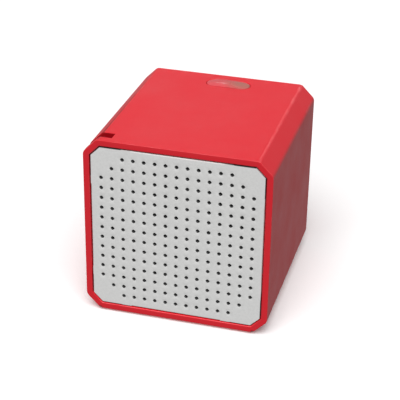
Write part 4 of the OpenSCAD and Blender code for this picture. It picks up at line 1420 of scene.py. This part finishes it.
socket_nickel = metal("socket_nickel", nickel, shine=(0.16, 0.3), dull=0.85)
bm = merged_copy("usb_shell")
low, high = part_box("usb_shell")
socket_mid = (low + high) / 2
long_edges = [e for e in edges_where(bm, anywhere, 30) if runs_back(e)]
soften(bm, long_edges, shell_corner_r, 4)
soften(bm, edges_where(bm, lambda co: co.y > high.y - tiny, 60), mouth_edge_r, 2)
socket = place(bm, "socket_shell", "enclosure", socket_nickel, ["usb_shell"])
keep_flats_flat(socket)

black_plastic, tree, shader = start_material("black_plastic", black, 0.45)
gilt_at = marked(tree, "gilt")
rub = tint(tree, shader, use_group(tree, rubbed, Amount=0.5)["Mask"], black, (0.09, 0.09, 0.09))
tint(tree, shader, gilt_at, rub, gold)
tree.links.new(gilt_at, shader.inputs["Metallic"])
fine_skin(tree, shader, (0.38, 0.55), size=0.1 * mm, depth=0.006 * mm)

bm = eased("usb_tongue", mouth_edge_r)
gilt = bm.verts.layers.float.new("gilt")
low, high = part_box("usb_tongue")
for i in range(contacts):
    x = socket_mid.x + (i - (contacts - 1) / 2) * contact_pitch
    middle = Vector((x, high.y - contact_from_mouth, socket_mid.z - contact_t / 4))
    for v in add_box(bm, middle, (contact_w, contact_l, contact_t)):
        v[gilt] = 1
place(bm, "socket_tongue", "enclosure", black_plastic, ["usb_tongue"])


# ---- Power switch ----
# A folded tin case over a black sliding knob. The knob's end has three ridges for a fingernail,
# and it comes out through the rear cover.
ridges = 3
ridge_r = 0.16 * mm
ridge_pitch = 0.58 * mm
ridge_share = 0.78
case_edge_r = 0.1 * mm
knob_edge_r = 0.12 * mm
knob_end_l = 0.3 * mm

bm = eased("switch_case", case_edge_r)
place(bm, "switch_shell", "enclosure", tinned, ["switch_case"])

bm = merged_copy("switch_slider")
low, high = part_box("switch_slider")
knob_faces = [v.co for v in bm.verts if v.co.y > high.y - tiny]
knob_low = Vector([min(co[k] for co in knob_faces) for k in range(3)])
knob_high = Vector([max(co[k] for co in knob_faces) for k in range(3)])
soften(bm, edges_where(bm, anywhere, 60), knob_edge_r, 3)
knob_end = [v for v in bm.verts if v.co.y > high.y - knob_end_l]
bmesh.ops.translate(bm, verts=knob_end, vec=(0, -ridge_r, 0))
for i in range(ridges):
    grip = bmesh.ops.create_cone(
        bm,
        cap_ends=True,
        segments=16,
        radius1=ridge_r,
        radius2=ridge_r,
        depth=(knob_high.z - knob_low.z) * ridge_share,
    )["verts"]
    ends = list({e for v in grip for e in v.link_edges if e.calc_face_angle(0) > 1})
    soften(bm, ends, ridge_r / 3, 2)
    grip = [v for v in bm.verts if abs(v.co.x) < 2 * ridge_r and abs(v.co.y) < 2 * ridge_r]
    x = (knob_low.x + knob_high.x) / 2 + (i - 1) * ridge_pitch
    bmesh.ops.translate(bm, verts=grip, vec=(x, high.y - ridge_r, (knob_low.z + knob_high.z) / 2))
knob = place(bm, "power_knob_slider", "power_knob", black_plastic, ["switch_slider"])
keep_flats_flat(knob)


# ---- Push switch ----
# A square moulded body with four swaged posts. Its round plunger carries the button and pushes it
# back up.
switch_grey = (0.05, 0.05, 0.052)
post_r = 0.3 * mm
post_h = 0.08 * mm
post_from_side = 0.55 * mm
body_edge_r = 0.12 * mm
plunger_edge_r = 0.15 * mm

grey_plastic = moulded(
    "switch_plastic",
    switch_grey,
    (0.1, 0.1, 0.1),
    shine=(0.45, 0.6),
    size=0.1 * mm,
    depth=0.005 * mm,
    wear=0.3,
)
bm = eased("tact_switch", body_edge_r)
low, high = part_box("tact_switch")
middle, half = (low + high) / 2, (high - low) / 2
profile = [(0, 0), *arc((post_r / 2, post_h), post_r / 2, 0, 90), (0, post_h + post_r / 2)]
for side_x in (-1, 1):
    for side_y in (-1, 1):
        x = middle.x + side_x * (half.x - post_from_side)
        y = middle.y + side_y * (half.y - post_from_side)
        join_in(bm, turned(profile, (x, y, high.z), "Z", 16, closed=False))
place(bm, "push_switch_body", "enclosure", grey_plastic, ["tact_switch"])

low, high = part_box("tact_plunger")
profile = round_disc((high.x - low.x) / 2, low.z, high.z, plunger_edge_r)
bm = turned(profile, (0, (low.y + high.y) / 2, 0), "Z", 48, closed=False)
place(bm, "push_plunger", "button", black_plastic, ["tact_plunger"])


# ---- Microphone ----
# A small crimped metal capsule, its opening covered by black felt behind the cover's sound hole, in
# a push-on boot of black rubber.
capsule_edge_r = 0.25 * mm
crimp_r = 0.12 * mm
boot_edge_r = 0.15 * mm
felt_r = 0.75 * mm
felt_depth = 0.12 * mm
boot_black = (0.02, 0.02, 0.021)

low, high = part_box("microphone")
mic_middle = Vector(((low.x + high.x) / 2, 0, (low.z + high.z) / 2))
capsule_r = (high.x - low.x) / 2
capsule_tin = metal("capsule_tin", tin, shine=(0.2, 0.35), dull=0.85)
tree = capsule_tin.node_tree
shader = tree.nodes["Principled BSDF"]
felt_at = marked(tree, "felt")
tin_colour = shader.inputs["Base Color"].links[0].from_socket
tint(tree, shader, felt_at, tin_colour, boot_black)
bare_tin = maths(tree, "SUBTRACT", 1.0, felt_at)
tree.links.new(bare_tin, shader.inputs["Metallic"])
profile = (
    [(0, low.y), (capsule_r * 0.8, low.y)]
    + arc((capsule_r - crimp_r, low.y + crimp_r), crimp_r, 180, 360)
    + arc((capsule_r - capsule_edge_r, high.y - capsule_edge_r), capsule_edge_r, 0, 90)
    + [(felt_r, high.y), (felt_r, high.y - felt_depth), (0, high.y - felt_depth)]
)
bm = turned(profile, mic_middle, closed=False)
felt = bm.verts.layers.float.new("felt")
for v in bm.verts:
    v[felt] = abs(v.co.y - (high.y - felt_depth)) < tiny
place(bm, "microphone_capsule", "enclosure", capsule_tin, ["microphone"])

low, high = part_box("microphone_boot")
boot = moulded(
    "boot_rubber",
    boot_black,
    (0.06, 0.06, 0.06),
    shine=(0.55, 0.75),
    size=0.15 * mm,
    depth=0.01 * mm,
    wear=0.2,
)
profile = round_ring(capsule_r, (high.x - low.x) / 2, low.y, high.y, boot_edge_r)
bm = turned(profile, mic_middle)
place(bm, "microphone_sleeve", "enclosure", boot, ["microphone_boot"])


# ---- Cover screws ----
# Four countersunk self-tapping screws in blackened steel, with cross recesses.
cover_head_h = 0.95 * mm

bm = threaded("cover_screws", screw_edge_r, cover_head_h)
place(bm, "cover_screw_set", "enclosure", screw_steel, ["cover_screws"])


# ---- Feet ----
# Four round feet of black rubber, glued into shallow seats in the underside. Each has a soft edge
# and a shallow groove in its sole.
foot_edge_r = 0.22 * mm
groove_r = 1.25 * mm
groove_w = 0.35 * mm
groove_depth = 0.1 * mm
widest_foot = 6 * mm

low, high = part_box("feet")
points = [v.co.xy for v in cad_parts["feet"].data.vertices]
apart = [(point - points[0]).length for point in points]
foot_r = max(d for d in apart if d < widest_foot) / 2
profile = (
    [(0, low.z), (groove_r - groove_w / 2, low.z), (groove_r, low.z + groove_depth)]
    + [(groove_r + groove_w / 2, low.z)]
    + arc((foot_r - foot_edge_r, low.z + foot_edge_r), foot_edge_r, 270, 360)
    + [(foot_r, high.z), (0, high.z)]
)
bm = bmesh.new()
for side_x in (-1, 1):
    for side_y in (-1, 1):
        at = (side_x * (high.x - foot_r), side_y * (high.y - foot_r), 0)
        join_in(bm, turned(profile, at, "Z", 64, closed=False))
foot_rubber = moulded(
    "foot_rubber",
    (0.025, 0.025, 0.026),
    (0.07, 0.07, 0.07),
    shine=(0.6, 0.8),
    size=0.2 * mm,
    depth=0.012 * mm,
    wear=0.3,
)
place(bm, "foot_set", "enclosure", foot_rubber, ["feet"])
